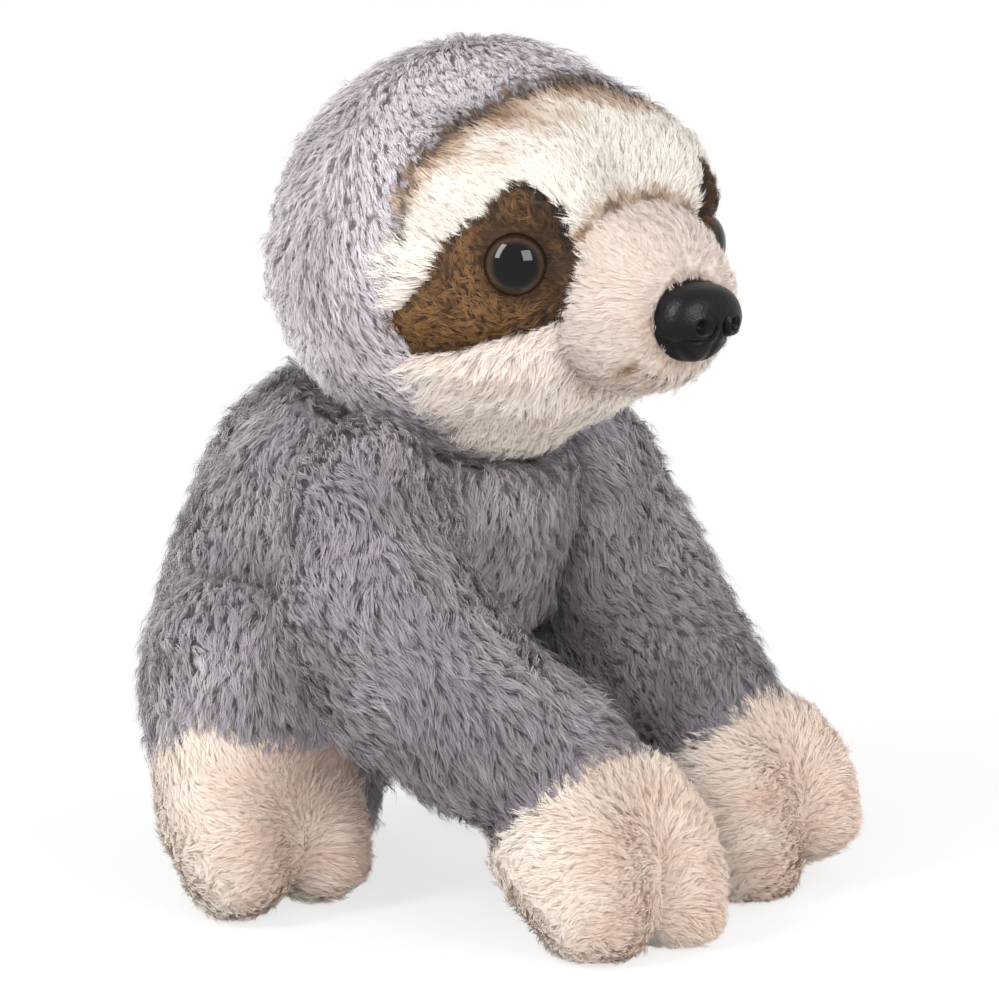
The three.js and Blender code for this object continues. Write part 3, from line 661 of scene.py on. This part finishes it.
def new_plush(slot, pile, tones, root_shade, ground, sheen=0.15, streaks=0.14):
    """A kind of plush: its slot, its pile's sizes and the materials of its fibres and its ground."""
    fibres = pile_paint(slot + "_pile", tones, root_shade, sheen, streaks)
    return {"slot": slot, "pile": pile, "fibres": fibres, "ground": knit_paint(slot + "_ground", ground)}


def body_flow(places, normals):
    """Down and a little outwards."""
    return np.broadcast_to((0, 0, -1.0), places.shape) + 0.25 * normals * (1, 1, 0)


def body_tone(places, normals):
    return 0.5 + 0.14 * soft_noise(places, 30 * MM, 5) + 0.08 * soft_noise(places, 9 * MM, 6)


def belly_dent(places, normals):
    """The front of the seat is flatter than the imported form."""
    return BELLY_DENT * np.clip(-normals[:, 1], 0, 1) * falling(places[:, 2], 0.034, 0.01)


forms = {}
node_trees = {name: search_tree([node.data]) for name, node in frame["nodes"].items()}
body_trees = {
    name: search_tree([frame["nodes"][node].data for node in nodes])
    for name, nodes in frame["record"]["behaviour"]["bodies"].items()
}
fibre_shades = pile_fibres()
knitted_loops = yarn_ridges("knitted_loops", "Z", 240, 2, 0.6, fibres=900)
# The ground is about as dark as the fibres' roots: the backing's own colour, darkened as painted shade between
# the tufts.
body_plush = new_plush("body_plush", BODY_PILE, BODY_TONES, 0.46, (0.22, 0.195, 0.22), sheen=0.25)
torso_form = stuffed_form("torso", TORSO_SINK, dent=belly_dent)
for number, panel in enumerate(TORSO_SINK):
    dress_panel(torso_form, panel, body_plush, body_flow, body_tone, 100 + 10 * number)

# Head: a grey hood of a crown and two sides, and a face of short plush (forehead, cheeks, two eye patches and
# a muzzle), sewn together and stuffed hard so that the hood's edge stands proud round the face. The head's
# own measures are in millimetres from its middle.
UP = np.array((0, 0, 1.0))
HEAD_CENTRE = np.array((0, -0.041, 0.129))
HEAD_TURN = math.radians(-15)
HEAD_FRONT = np.array((math.sin(HEAD_TURN), -math.cos(HEAD_TURN), 0))
HEAD_LEFT = np.array((math.cos(HEAD_TURN), math.sin(HEAD_TURN), 0))
HEAD_VOXEL = 1.5 * MM
HEAD_SINK = {
    "crown_panel": 1.2, "hood_side_right": -0.3, "hood_side_left": -0.3, "eye_patch_right": 0.9,
    "eye_patch_left": 0.1, "forehead_panel": 0.8, "cheek_panel": 1.1, "muzzle_cover": 0.4,
}
HOOD_PANELS = ("crown_panel", "hood_side_right", "hood_side_left")
HOOD_PROUD = {"panels": HOOD_PANELS, "height": 1.4, "width": 5 * MM}
CHIN_DENT = 1.8 * MM
RIM_DENT = 2.2 * MM
BROW_BULGE = 3 * MM
CROWN_LAP = 4.2
HOOD_LAP = 5
PATCH_LAP = 1.5
BARE_ROUND_EYE = 0.9 * MM
BARE_ROUND_NOSE = 0.4 * MM
HOOD_TONES = [
    (0, (0.1, 0.065, 0.05)), (0.3, (0.5, 0.455, 0.475)), (0.6, (0.7, 0.64, 0.675)), (1, (0.88, 0.83, 0.86)),
]
CREAM_TONES = [
    (0, (0.86, 0.82, 0.755)), (0.35, (0.56, 0.41, 0.3)), (0.7, (0.27, 0.17, 0.1)), (1, (0.1, 0.06, 0.03)),
]
CHEEK_TONES = [(0, (0.68, 0.52, 0.42)), (0.5, (0.93, 0.82, 0.73)), (1, (0.9, 0.86, 0.79))]
MUZZLE_TONES = [
    (0, (0.71, 0.625, 0.56)), (0.35, (0.63, 0.49, 0.415)), (0.7, (0.34, 0.21, 0.13)), (1, (0.14, 0.08, 0.04)),
]
PATCH_TONES = [(0, (0.27, 0.135, 0.05)), (0.5, (0.1, 0.046, 0.015)), (1, (0.012, 0.007, 0.004))]
HOOD_PILE = dict(BODY_PILE, length=4.2, lift=0.42, swirl=0.22, curl=0.08, even=1.0, crease=0.1)
FACE_PILE = {
    "tufts": 1.1, "strands": 10, "spread": 0.75, "length": 3.4, "width": 0.12, "lift": 0.4,
    "gather": 0.15, "curl": 0.14, "swirl": 0.25, "even": 1.8, "mottle": 0.02, "crease": 0.0,
}
CHEEK_PILE = dict(FACE_PILE, length=4.6, lift=0.5, gather=0.5, spread=1.0, width=0.13, even=1.2, mottle=0.05)
MUZZLE_PILE = dict(FACE_PILE, length=2.8, width=0.11, strands=12)
PATCH_PILE = dict(
    FACE_PILE, tufts=1.5, strands=9, spread=0.7, length=2.1, lift=0.5, gather=0.5, curl=0.35, swirl=0.7,
    even=0.9, mottle=0.08,
)


def head_place(places):
    """Places as forward, left and up of the head's middle, in millimetres."""
    offset = places - HEAD_CENTRE
    return offset @ HEAD_FRONT / MM, offset @ HEAD_LEFT / MM, offset[:, 2] / MM


def head_height(places):
    """How far up of the head's middle each place lies, in millimetres."""
    return (places[:, 2] - HEAD_CENTRE[2]) / MM


def head_direction(forward, left, up):
    """Directions that go so far forward, left and up of the head, each a number or one for every place."""
    forward, left, up = np.broadcast_arrays(forward, left, up)
    return np.outer(forward, HEAD_FRONT) + np.outer(left, HEAD_LEFT) + np.outer(up, UP)


def reach(tree, places):
    """How far each place lies from the faces of a search tree, in millimetres."""
    return distances(tree, places) / MM


def eye_gap(places):
    """How far each place lies from the nearer eye."""
    return np.minimum(distances(node_trees["eye_right"], places), distances(node_trees["eye_left"], places))


def face_dent(places, normals):
    """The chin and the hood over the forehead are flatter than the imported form, and the brows are fuller."""
    forward, left, up = head_place(places)
    chin = CHIN_DENT * np.clip(-1.5 * normals[:, 2] - 0.3, 0, 1)
    chin = chin * rising(forward, 0, 12) * falling(forward, 44, 8)
    rim = RIM_DENT * rising(forward, 0, 12) * rising(up, 24, 8)
    brow = near(up - 16, 8) * rising(np.abs(left), 4, 8) * rising(forward, 12, 8)
    return chin + rim - BROW_BULGE * brow


def head_lap(places):
    """The hood reaches over the forehead and further over the cheeks, and the patches over their seams."""
    _, left, up = head_place(places)
    side = HOOD_LAP + HOOD_LAP * falling(up, -4, 10)
    patch = PATCH_LAP - 4 * rising(np.abs(left), 23, 5) * rising(up, 5, 6)
    return {
        "crown_panel": CROWN_LAP, "hood_side_right": side, "hood_side_left": side, "eye_patch_right": patch,
        "eye_patch_left": patch + 1,
    }


def hood_flow(places, normals):
    """From the middle of the crown forward to the rim, back over the nape and down the sides."""
    forward, _, _ = head_place(places)
    return head_direction(np.clip((forward + 6) / 16, -0.7, 0.9), 0, -0.8)


def face_flow(places, normals):
    """Away from the root of the muzzle."""
    _, left, up = head_place(places)
    return head_direction(-0.6, left / 20, (up + 6) / 20)


def beside_patch(places):
    """1 behind the eye patches, 0 from their lower edge down."""
    return rising(head_height(places), -17, 6)


def cheek_flow(places, normals):
    """Down the cheek, and away from the muzzle behind the eye patches."""
    _, left, _ = head_place(places)
    share = beside_patch(places)[:, None]
    return head_direction(-0.5, left / 40, -1) * (1 - share) + face_flow(places, normals) * share


def muzzle_flow(places, normals):
    """Back from the nose."""
    return np.broadcast_to(-HEAD_FRONT, places.shape)


def hood_tone(places, normals):
    """Even; brown with painted shadow in the groove along the face's top; paler low down as painted light."""
    up = head_height(places)
    # Painted shadow of the hood's edge over the plush's own brown, stronger towards the top.
    groove = near(reach(face_region, places), 2.3) * (0.35 + 0.5 * rising(up, -2, 10))
    # Painted light: the hood is made paler towards its bottom.
    return 0.6 - groove + 0.18 * falling(up, -10, 15) + 0.13 * soft_noise(places, 26 * MM, 11)


def forehead_tone(places, normals):
    """Cream, tan along the hood's edge with painted shadow at the seam, and a brown line over the muzzle."""
    seam = reach(hood_region, places)
    up = head_height(places)
    mottle = 0.8 + 0.5 * soft_noise(places, 13 * MM, 12) + 0.2 * soft_noise(places, 4 * MM, 18)
    mottle = np.clip(mottle, 0.1, 1.5)
    # A wide mottled band of tan along the hood's edge; the narrow dark band at the seam is painted shadow of
    # the hood over the plush's own brown.
    tan_and_edge_shadow = rising(up, 7, 14) * (0.36 * mottle * near(seam, 11) + 0.5 * near(seam, 4))
    tan_and_edge_shadow += 0.22 * mottle * rising(up, 22, 8) * near(seam, 8)
    line = 0.75 * near(reach(muzzle_region, places), 1.4) * rising(up, 2, 4)
    line = line * np.clip(0.9 + 0.35 * soft_noise(places, 5 * MM, 17), 0, 1.2)
    # Darkest right at the hood's seam: painted shadow.
    return 0.02 + 0.15 * near(seam, 2) + tan_and_edge_shadow + line + 0.03 * soft_noise(places, 9 * MM, 13)


def cheek_tone(places, normals):
    """Beige, with painted shade in the fold beside the muzzle and under the patch."""
    # Painted shade in the folds beside the muzzle and under the patch.
    fold_shade = 0.3 * near(reach(muzzle_region, places), 2.2) + 0.35 * near(reach(patch_region, places), 2)
    return 0.6 + 0.4 * beside_patch(places) - fold_shade + 0.1 * soft_noise(places, 12 * MM, 14)


def muzzle_tone(places, normals):
    """Pale pink, with a brown line along the top seam, a shadow round the nose and marks along the mouth."""
    seam = reach(node_trees["forehead_panel"], places)
    nose = reach(node_trees["nose"], places)
    _, left, up = head_place(places)
    line = 0.7 * near(seam, 1.5) * rising(up, 2, 4)
    corners = 0.75 * near(np.abs(left) - 10, 1.1) * near(up + 18, 2.2)
    lip = 0.5 * near(np.abs(left) - 4.5, 2.4) * near(up + 21.2, 0.9)
    return 0.06 + line + corners + lip + 0.6 * near(nose, 1.4) + 0.07 * soft_noise(places, 8 * MM, 15)


def patch_tone(places, normals):
    """Brown, nearly black beside the muzzle and at the edges, painted shade round the eye, in small curls."""
    _, left, up = head_place(places)
    dark = 0.45 * falling(np.abs(left), 25, 8) + 0.25 * rising(up, 5, 6)
    # The dark ring round the eye is painted shade where the pile dips to the eye.
    dark += 0.35 * near(reach(cream_region, places), 1.8) + 0.25 * near(eye_gap(places) / MM - 0.9, 1.6)
    return 0.16 + dark + 0.12 * soft_noise(places, 6 * MM, 16) + 0.12 * soft_noise(places, 2.4 * MM, 19)


def hood_trim(places):
    """Shorter at the hood's front edge."""
    return 1 - 0.35 * near(reach(face_region, places), 3.2)


def cheek_trim(places):
    """Shorter under the chin."""
    return 1 - 0.45 * falling(head_height(places), -24, 10)


def far_patch_trim(places):
    """Longer round the left eye."""
    return 1 + 0.5 * near(distances(node_trees["eye_left"], places), 3 * MM)


def under_eye(places):
    return eye_gap(places) < BARE_ROUND_EYE


def under_nose(places):
    return distances(node_trees["nose"], places) < BARE_ROUND_NOSE


# The hood's, cheek's and patch's grounds are about as dark as their fibres' roots: painted shade between the
# tufts over the backing's colour.
hood_plush = new_plush("hood_plush", HOOD_PILE, HOOD_TONES, 0.58, (0.4, 0.365, 0.4), sheen=0.25)
cream_plush = new_plush("cream_plush", FACE_PILE, CREAM_TONES, 0.94, (0.8, 0.75, 0.68), streaks=0.05)
cheek_plush = new_plush("cheek_plush", CHEEK_PILE, CHEEK_TONES, 0.8, (0.68, 0.58, 0.5), streaks=0.08)
muzzle_plush = new_plush("muzzle_plush", MUZZLE_PILE, MUZZLE_TONES, 0.94, (0.82, 0.7, 0.62), streaks=0.05)
patch_plush = new_plush("patch_plush", PATCH_PILE, PATCH_TONES, 0.4, (0.06, 0.03, 0.014), sheen=0)
HEAD_FINISH = {
    "forehead_panel": (cream_plush, face_flow, forehead_tone, None, None),
    "cheek_panel": (cheek_plush, cheek_flow, cheek_tone, cheek_trim, None),
    "muzzle_cover": (muzzle_plush, muzzle_flow, muzzle_tone, None, under_nose),
    "eye_patch_right": (patch_plush, face_flow, patch_tone, None, under_eye),
    "eye_patch_left": (patch_plush, face_flow, patch_tone, far_patch_trim, under_eye),
}
for panel in HOOD_PANELS:
    HEAD_FINISH[panel] = (hood_plush, hood_flow, hood_tone, hood_trim, None)
head_form = stuffed_form("head", HEAD_SINK, voxel=HEAD_VOXEL, lap=head_lap, proud=HOOD_PROUD, dent=face_dent)
hood_region = region_tree(head_form, HOOD_PANELS)
face_region = region_tree(head_form, [panel for panel in HEAD_SINK if panel not in HOOD_PANELS])
muzzle_region = region_tree(head_form, ["muzzle_cover"])
patch_region = region_tree(head_form, ["eye_patch_right", "eye_patch_left"])
cream_region = region_tree(head_form, ["forehead_panel", "cheek_panel"])
for number, panel in enumerate(HEAD_SINK):
    plush, flow, tone, trim, bare = HEAD_FINISH[panel]
    dress_panel(head_form, panel, plush, flow, tone, 200 + 10 * number, trim=trim, bare=bare)

# Arms: each is a sleeve of two panels of long plush and a pale paw of short plush, sewn together and stuffed.
# They hang forward from the shoulders, and the paw's two toes are parted by a row of stitches.
PAW_TONES = [(0, (0.68, 0.5, 0.41)), (0.5, (0.73, 0.605, 0.515)), (1, (0.82, 0.745, 0.665))]
PAW_PILE = dict(
    FACE_PILE, tufts=1.45, length=3.3, width=0.13, lift=0.42, gather=0.3, swirl=0.35, even=2.2, mottle=0.03,
)
WHORL_HEIGHT = 0.014
ARM_AXIS = (0, -0.65, -0.76)
ARM_UNDERSIDE = np.array((0, 0.65, -0.76))
ARM_DENT = 1.5 * MM
ARM_SAG = 5 * MM
SLEEVE_SINK = 1.1
PAW_SINK = -0.8


def arm_dent(places, normals):
    """The covers are drawn in on the upper side of the arm and sag on its underside."""
    below = normals @ ARM_UNDERSIDE
    sag = np.clip(below, 0, 1) * rising(places[:, 2], 0.008, 0.01)
    return ARM_DENT * np.clip(-below, 0, 1) - ARM_SAG * sag


def arm_flow(places, normals):
    """Down the arm to the paw."""
    return np.broadcast_to(ARM_AXIS, places.shape)


def sleeve_tone(places, normals):
    """Painted shade darker than the body, most towards the paw; a painted highlight on the underside's ridge.
    """
    # Painted highlight along the ridge of the underside, chosen by the way the surface faces.
    ridge = np.clip(3 * (normals @ ARM_UNDERSIDE) - 2, 0, 1) * rising(places[:, 2], 0.02, 0.02)
    # Painted shade: darker than the rest of the body, more so low towards the paw.
    return body_tone(places, normals) - 0.16 - 0.25 * falling(places[:, 2], 0.062, 0.03) + 0.4 * ridge


def paw_flow(places, normals):
    """Away from a whorl low on the toes, so that the tips stand over the longer plush at the seam."""
    whorl = places.mean(axis=0)
    whorl[2] = WHORL_HEIGHT
    return places - whorl


def paw_tone(places, normals):
    """Pinkish on the front of each toe and paler round the rims."""
    return 0.2 + 0.65 * (1 - np.clip(-normals[:, 1], 0, 1)) + 0.12 * soft_noise(places, 9 * MM, 21)


def dress_limb(body, sink, flow, tone, seed, lap=None, dent=None):
    """A limb's cover: panels of long plush, and last in sink the pale one of a paw or a foot."""
    *panels, pale = sink
    form = stuffed_form(body, sink, lap=lap, dent=dent, full=[pale])
    pale_region = region_tree(form, [pale])

    def cuff_trim(places):
        """The long plush is sheared where it meets a paw or a foot."""
        return 1 - 0.45 * near(reach(pale_region, places), 3.5)

    for number, panel in enumerate(panels):
        dress_panel(form, panel, body_plush, flow, tone, seed + 10 * number, trim=cuff_trim)
    dress_panel(form, pale, paw_plush, paw_flow, paw_tone, seed + 30)


paw_plush = new_plush("paw_plush", PAW_PILE, PAW_TONES, 0.94, (0.8, 0.68, 0.59), streaks=0.05)
for seed, side in ((300, "right"), (400, "left")):
    arm_sink = {
        f"sleeve_outer_{side}": SLEEVE_SINK, f"sleeve_inner_{side}": SLEEVE_SINK,
        f"paw_cover_{side}": PAW_SINK,
    }
    dress_limb(f"arm_{side}", arm_sink, arm_flow, sleeve_tone, seed, dent=arm_dent)

# Legs: each is a folded thigh of an outer and an inner panel, with a pale foot like the paws, sewn together
# and stuffed. They are bent at the floor on both sides of the seat.
THIGH_SINK = 1.4
FOOT_SINK = 0.3


def foot_lap(places):
    """The foot's cover reaches up over the thigh in an arch that is lowest at the heel."""
    back = places[:, 1] / MM
    arch = 6.5 - 17 * rising(back, -12, 26) ** 1.3 - 6 * falling(back, -16, 14)
    return {"foot_cover_right": arch, "foot_cover_left": arch}


for seed, side in ((500, "right"), (600, "left")):
    leg_sink = {
        f"leg_panel_outer_{side}": THIGH_SINK, f"leg_panel_inner_{side}": THIGH_SINK,
        f"foot_cover_{side}": FOOT_SINK,
    }
    dress_limb(f"leg_{side}", leg_sink, body_flow, body_tone, seed, lap=foot_lap)

# Filling: white polyester fibre, teased into a lump for each body and pushed in through the back seam, and a
# small cloth bag of plastic pellets that weighs the seat down.
FIBRE_LUMP = {"voxel": 2.6 * MM, "rounds": 4, "sink": 1.7 * MM, "lumps": 0.35 * MM, "spacing": 12 * MM}
PELLET_BAG = {"voxel": 1.5 * MM, "rounds": 6, "sink": 0.4 * MM, "lumps": 0.25 * MM, "spacing": 4 * MM}
FILLED_BODIES = {
    "torso_stuffing": "torso", "neck_stuffing": "neck", "head_stuffing": "head",
    "arm_stuffing_right": "arm_right", "arm_stuffing_left": "arm_left",
    "leg_stuffing_right": "leg_right", "leg_stuffing_left": "leg_left",
}


def soft_lump(node_name, ending, sizes, seed, paint):
    """A packed filling, smoothed, sunk under the covers and made uneven."""
    lump = merged_copy(node_name + ending, [node_name])
    apply_modifier(lump, "REMESH", mode="VOXEL", voxel_size=sizes["voxel"])
    apply_modifier(lump, "SMOOTH", factor=0.5, iterations=sizes["rounds"])
    places, normals, _ = mesh_arrays(lump.data)
    depth = sizes["sink"] + sizes["lumps"] * soft_noise(places, sizes["spacing"], seed)
    places -= normals * depth[:, None]
    lump.data.vertices.foreach_set("co", places.ravel())
    lump.data.update()
    lump.data.materials.append(paint)
    select_alone(lump)
    bpy.ops.object.shade_smooth()
    return lump


def grain_paint(name, darker, lighter, roughness, noise):
    """A material that wanders between two tones, its node tree, its shader and the pattern."""
    paint, tree, shader = new_paint(name)
    grain = add_node(tree, "TexNoise", {"Vector": object_place(tree), **noise})
    tones = add_ramp(tree, grain.outputs["Fac"], [(0, darker), (1, lighter)])
    set_inputs(shader, {"Base Color": tones, "Roughness": roughness})
    return paint, tree, shader, grain.outputs["Fac"]


filling_paint, tree, shader, fibres = grain_paint(
    "polyester_filling", (0.62, 0.61, 0.58), (0.88, 0.88, 0.86), 0.95,
    {"Scale": 420, "Detail": 6, "Distortion": 2.5},
)
set_inputs(shader, {"Sheen Weight": 0.2})
add_bump(tree, shader, fibres, 0.5 * MM)
for number, (node_name, body) in enumerate(FILLED_BODIES.items()):
    lump = soft_lump(node_name, "_fibre", FIBRE_LUMP, 700 + number, filling_paint)
    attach(lump, body)
    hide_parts(node_name)

bag = soft_lump("pellet_bag", "_cloth", PELLET_BAG, 720, knit_paint("pellet_bag_muslin", (0.7, 0.68, 0.62)))
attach(bag, "torso")
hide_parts("pellet_bag")

# Eyes: moulded safety eyes of clear brown plastic with a black pupil behind, a flat rim, and a ridged stem
# that goes through the patch and holds a washer. The dome is glossy, so the lamps show in it.
EYE_RADIUS = 6 * MM
EYE_HEIGHT = 4.1 * MM
EYE_SINK = 1.4 * MM
EYE_SIDE = math.radians(36)
EYE_RISE = math.radians(2)
EYE_RIM = 0.25 * MM
EYE_RIM_DEPTH = 0.5 * MM
HEAD_HALVES = (42, 46, 41.5)
STEM_RADIUS = 1.8 * MM
STEM_RIDGES = 9
RIDGE_STEPS = ((0.3, 1.12), (0.5, 1 / 1.12), (0.2, 1))
EYE_TONES = [
    (0, (0.002, 0.002, 0.003)), (0.66, (0.002, 0.002, 0.003)), (0.7, (0.012, 0.007, 0.004)),
    (0.82, (0.04, 0.022, 0.011)), (0.93, (0.022, 0.012, 0.006)), (1, (0.004, 0.002, 0.001)),
]


def eye_seat(side):
    """Where an eye's axis leaves the head, and the way that the head faces there."""
    level = math.cos(EYE_RISE)
    direction = np.array((side * math.sin(EYE_SIDE) * level, math.cos(EYE_SIDE) * level, math.sin(EYE_RISE)))
    offset = direction / np.linalg.norm(direction / HEAD_HALVES)
    facing = unit(offset / HEAD_HALVES / HEAD_HALVES)
    axes = np.array((HEAD_LEFT, HEAD_FRONT, UP))
    return Vector(HEAD_CENTRE + offset @ axes * MM), Vector(facing @ axes)


def facing_matrix(place, out):
    """Turns a piece made along +Z so that it faces out at its place."""
    across = Vector(UP).cross(out).normalized()
    turned = Matrix((across, out.cross(across), out)).transposed().to_4x4()
    turned.translation = place
    return turned


def half_ball(name, segments, rings, radius):
    """The front half of a ball round +Z, in edit mode with its flat back selected."""
    bpy.ops.object.select_all(action="DESELECT")
    bpy.ops.mesh.primitive_uv_sphere_add(segments=segments, ring_count=rings, radius=radius)
    piece = bpy.context.object
    piece.name = name
    bpy.ops.object.mode_set(mode="EDIT")
    bpy.ops.mesh.select_all(action="SELECT")
    bpy.ops.mesh.bisect(plane_co=(0, 0, 0), plane_no=(0, 0, 1), clear_inner=True, use_fill=True)
    return piece


def draw_back(length):
    """Extrudes what is selected backwards."""
    bpy.ops.mesh.extrude_region_move(TRANSFORM_OT_translate={"value": (0, 0, -length)})


def eye_paint(name, centre, out):
    """A black pupil and a brown ring behind a clear coat, by the distance from the eye's axis."""
    paint, tree, shader = new_paint(name)
    offset = add_node(tree, "VectorMath", {0: object_place(tree), 1: centre}, operation="SUBTRACT")
    aside = add_node(tree, "VectorMath", {0: offset.outputs[0], 1: out}, operation="CROSS_PRODUCT")
    radius = add_node(tree, "VectorMath", {0: aside.outputs[0]}, operation="LENGTH").outputs["Value"]
    share = add_node(tree, "Math", {0: radius, 1: EYE_RADIUS}, operation="DIVIDE")
    set_inputs(shader, {
        "Base Color": add_ramp(tree, share.outputs[0], EYE_TONES, interpolation="EASE"), "Roughness": 0.12,
        "Coat Weight": 1, "Coat Roughness": 0.02, "Coat IOR": 1.31, "Specular IOR Level": 0,
    })
    return paint


for eye_name, side in (("eye_right", -1), ("eye_left", 1)):
    dome = half_ball(eye_name + "_dome", 64, 40, EYE_RADIUS)
    bpy.ops.mesh.inset(thickness=EYE_RIM, depth=0)
    draw_back(EYE_RIM_DEPTH)
    bpy.ops.mesh.inset(thickness=EYE_RADIUS - EYE_RIM - STEM_RADIUS, depth=0)
    for ridge in range(STEM_RIDGES):
        for step, width in RIDGE_STEPS:
            draw_back(step * MM)
            bpy.ops.transform.resize(value=(width, width, 1))
    bpy.ops.object.mode_set(mode="OBJECT")
    for vertex in dome.data.vertices:
        if vertex.co.z > 0:
            vertex.co.z *= EYE_HEIGHT / EYE_RADIUS
    seat, out = eye_seat(side)
    turned = facing_matrix(seat - out * EYE_SINK, out)
    dome.data.transform(turned)
    bpy.ops.object.shade_smooth_by_angle(angle=math.radians(40))
    dome.data.materials.clear()
    dome.data.materials.append(eye_paint(eye_name + "_plastic", turned.translation, out))
    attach(dome, "head")
    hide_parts(eye_name)

# Washers: white nylon discs that are pushed up the stems behind the covers until they lock. They are rigid
# and plain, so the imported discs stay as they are.
washer_paint = grain_paint("nylon_washer", (0.72, 0.72, 0.69), (0.84, 0.84, 0.82), 0.45, {"Scale": 600})[0]
for node_name in ("eye_washer_right", "eye_washer_left", "nose_washer"):
    washer = frame["nodes"][node_name]
    washer.data.materials.clear()
    washer.data.materials.append(washer_paint)

# Nose: one satin black moulding, wide at the top and narrow below, with two nostrils, a groove under each and
# a parting down the middle. Its stem goes through the muzzle. Measures without MM are in millimetres.
NOSE_PLACE = Vector(HEAD_CENTRE + (HEAD_FRONT * 56.6 - UP * 9) * MM)
NOSE_HALF_WIDTH = 9.7
NOSE_HALF_HEIGHT = 8.1
NOSE_DEPTH = 8.4
NOSE_STEM_INSET = 0.72
NOSTRIL_SIDE = 4.1
NOSTRIL_RISE = -0.5
NOSTRIL_DEPTH = 1.9
NOSTRIL_RADIUS = 1.05
LOBE_TOP = -3.4
LOBE_SET_BACK = 0.6
SHELF_REACH = 2.5
SHELF_DEPTH = 1.2
SHELF_WIDTH = 0.45
PARTING_DEPTH = 0.5


def below(height, edge, width):
    """1 below an edge and 0 above it."""
    return 1 / (1 + math.exp((height - edge) / width))


def nose_dip(across, height):
    """The depth of the nostrils, the lip shelf that curls up round each of them and the parting below."""
    dip = LOBE_SET_BACK * below(height, LOBE_TOP, 0.25)
    for side in (-1, 1):
        aside = across * side - NOSTRIL_SIDE
        above = height - NOSTRIL_RISE
        ring = math.hypot(aside, above)
        dip += NOSTRIL_DEPTH * near(ring, NOSTRIL_RADIUS) - 0.3 * near(ring - 1.7, 0.5)
        if aside > 0:
            shelf = above + SHELF_REACH
        else:
            shelf = SHELF_REACH - ring
        hook = 1 if aside > 0 or above < 0 else near(above, 1.2)
        dip += SHELF_DEPTH * hook * near(shelf + 0.4, SHELF_WIDTH)
        dip -= 0.4 * hook * near(shelf - 0.35, SHELF_WIDTH)
    return dip + PARTING_DEPTH * near(across, 0.6) * below(height, -2, 0.5)


nose = half_ball("nose_moulding", 96, 64, 1)
bpy.ops.mesh.inset(thickness=0.06, depth=0)
draw_back(0.1)
bpy.ops.mesh.inset(thickness=NOSE_STEM_INSET, depth=0)
draw_back(1)
bpy.ops.object.mode_set(mode="OBJECT")
for vertex in nose.data.vertices:
    across, height, out = vertex.co
    drop = max(0, -height)
    if out > 0:
        across *= 1 - 0.2 * below(height, -0.38, 0.05) - 0.08 * drop
        height *= 1 - 0.12 * max(0, height) ** 3
        out = out ** 0.62 * (1 - 0.1 * drop)
    across, height, out = across * NOSE_HALF_WIDTH, height * NOSE_HALF_HEIGHT, out * NOSE_DEPTH
    if out > 0:
        out -= nose_dip(across, height) * min(1, out / 3)
    vertex.co = Vector((across, height, out)) * MM
nose.data.transform(facing_matrix(NOSE_PLACE, Vector(HEAD_FRONT)))
bpy.ops.object.shade_smooth_by_angle(angle=math.radians(60))
nose_paint, tree, shader, cloud = grain_paint(
    "nose_plastic", (0.003, 0.003, 0.004), (0.008, 0.008, 0.01), 0.3, {"Scale": 300},
)
gloss = add_node(tree, "MapRange", {"Value": cloud, "To Min": 0.3, "To Max": 0.42})
set_inputs(shader, {"Roughness": gloss.outputs[0], "Specular IOR Level": 0.14})
leather = add_node(tree, "TexVoronoi", {"Vector": object_place(tree), "Scale": 2200})
add_bump(tree, shader, leather.outputs["Distance"], 0.12 * MM, strength=0.35)
nose.data.materials.clear()
nose.data.materials.append(nose_paint)
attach(nose, "head")
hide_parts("nose")

# Stitches: waxed polyester thread, drawn down into the pile. A ladder closes the back, a curved line is the
# mouth and a short row parts the toes of each paw and foot.
THREADS = {
    "body_thread": (0.16, 0.14, 0.165), "mouth_thread": (0.2, 0.11, 0.07), "paw_thread": (0.6, 0.46, 0.38),
}
STITCHES = {
    "closing_stitch": ("torso", "body_thread", 0.2 * MM),
    "mouth_stitch": ("head", "mouth_thread", 0.3 * MM),
    "paw_stitch_right": ("arm_right", "paw_thread", 0),
    "paw_stitch_left": ("arm_left", "paw_thread", 0),
    "foot_stitch_right": ("leg_right", "paw_thread", 0),
    "foot_stitch_left": ("leg_left", "paw_thread", 0),
}
THREAD_STEP = 1.5 * MM


def drawn_to(form, places, rise):
    """A thread's points moved so that its middle line lies at one height over the ground of the plush."""
    tree = BVHTree.FromPolygons(form["places"].tolist(), form["faces"].tolist())
    hits = [tree.find_nearest(Vector(place)) for place in places]
    grounds = np.array([hit[0][:] for hit in hits])
    outs = np.array([hit[1][:] for hit in hits])
    heights = ((places - grounds) * outs).sum(axis=1)
    close = (np.linalg.norm(places[:, None] - places[None], axis=2) < THREAD_STEP).astype(float)
    level = close @ heights / close.sum(axis=1)
    return places - unit(close @ outs) * (level - rise)[:, None]


twisted_plies = yarn_ridges("twisted_plies", "DIAGONAL", 500, 1, 0.55)
thread_paints = {}
for slot, colour in THREADS.items():
    thread_paints[slot] = yarn_paint(slot + "_plies", colour, twisted_plies, 0.15 * MM, 1, 0.7)
for node_name, (body, slot, rise) in STITCHES.items():
    thread = merged_copy(node_name + "_thread", [node_name])
    places = np.array([vertex.co[:] for vertex in thread.data.vertices])
    places = drawn_to(forms[body], places, rise)
    thread.data.vertices.foreach_set("co", places.ravel())
    thread.data.update()
    apply_modifier(thread, "SUBSURF", levels=1, render_levels=1)
    bpy.ops.object.shade_smooth()
    thread.data.materials.append(thread_paints[slot])
    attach(thread, body)
    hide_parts(node_name)
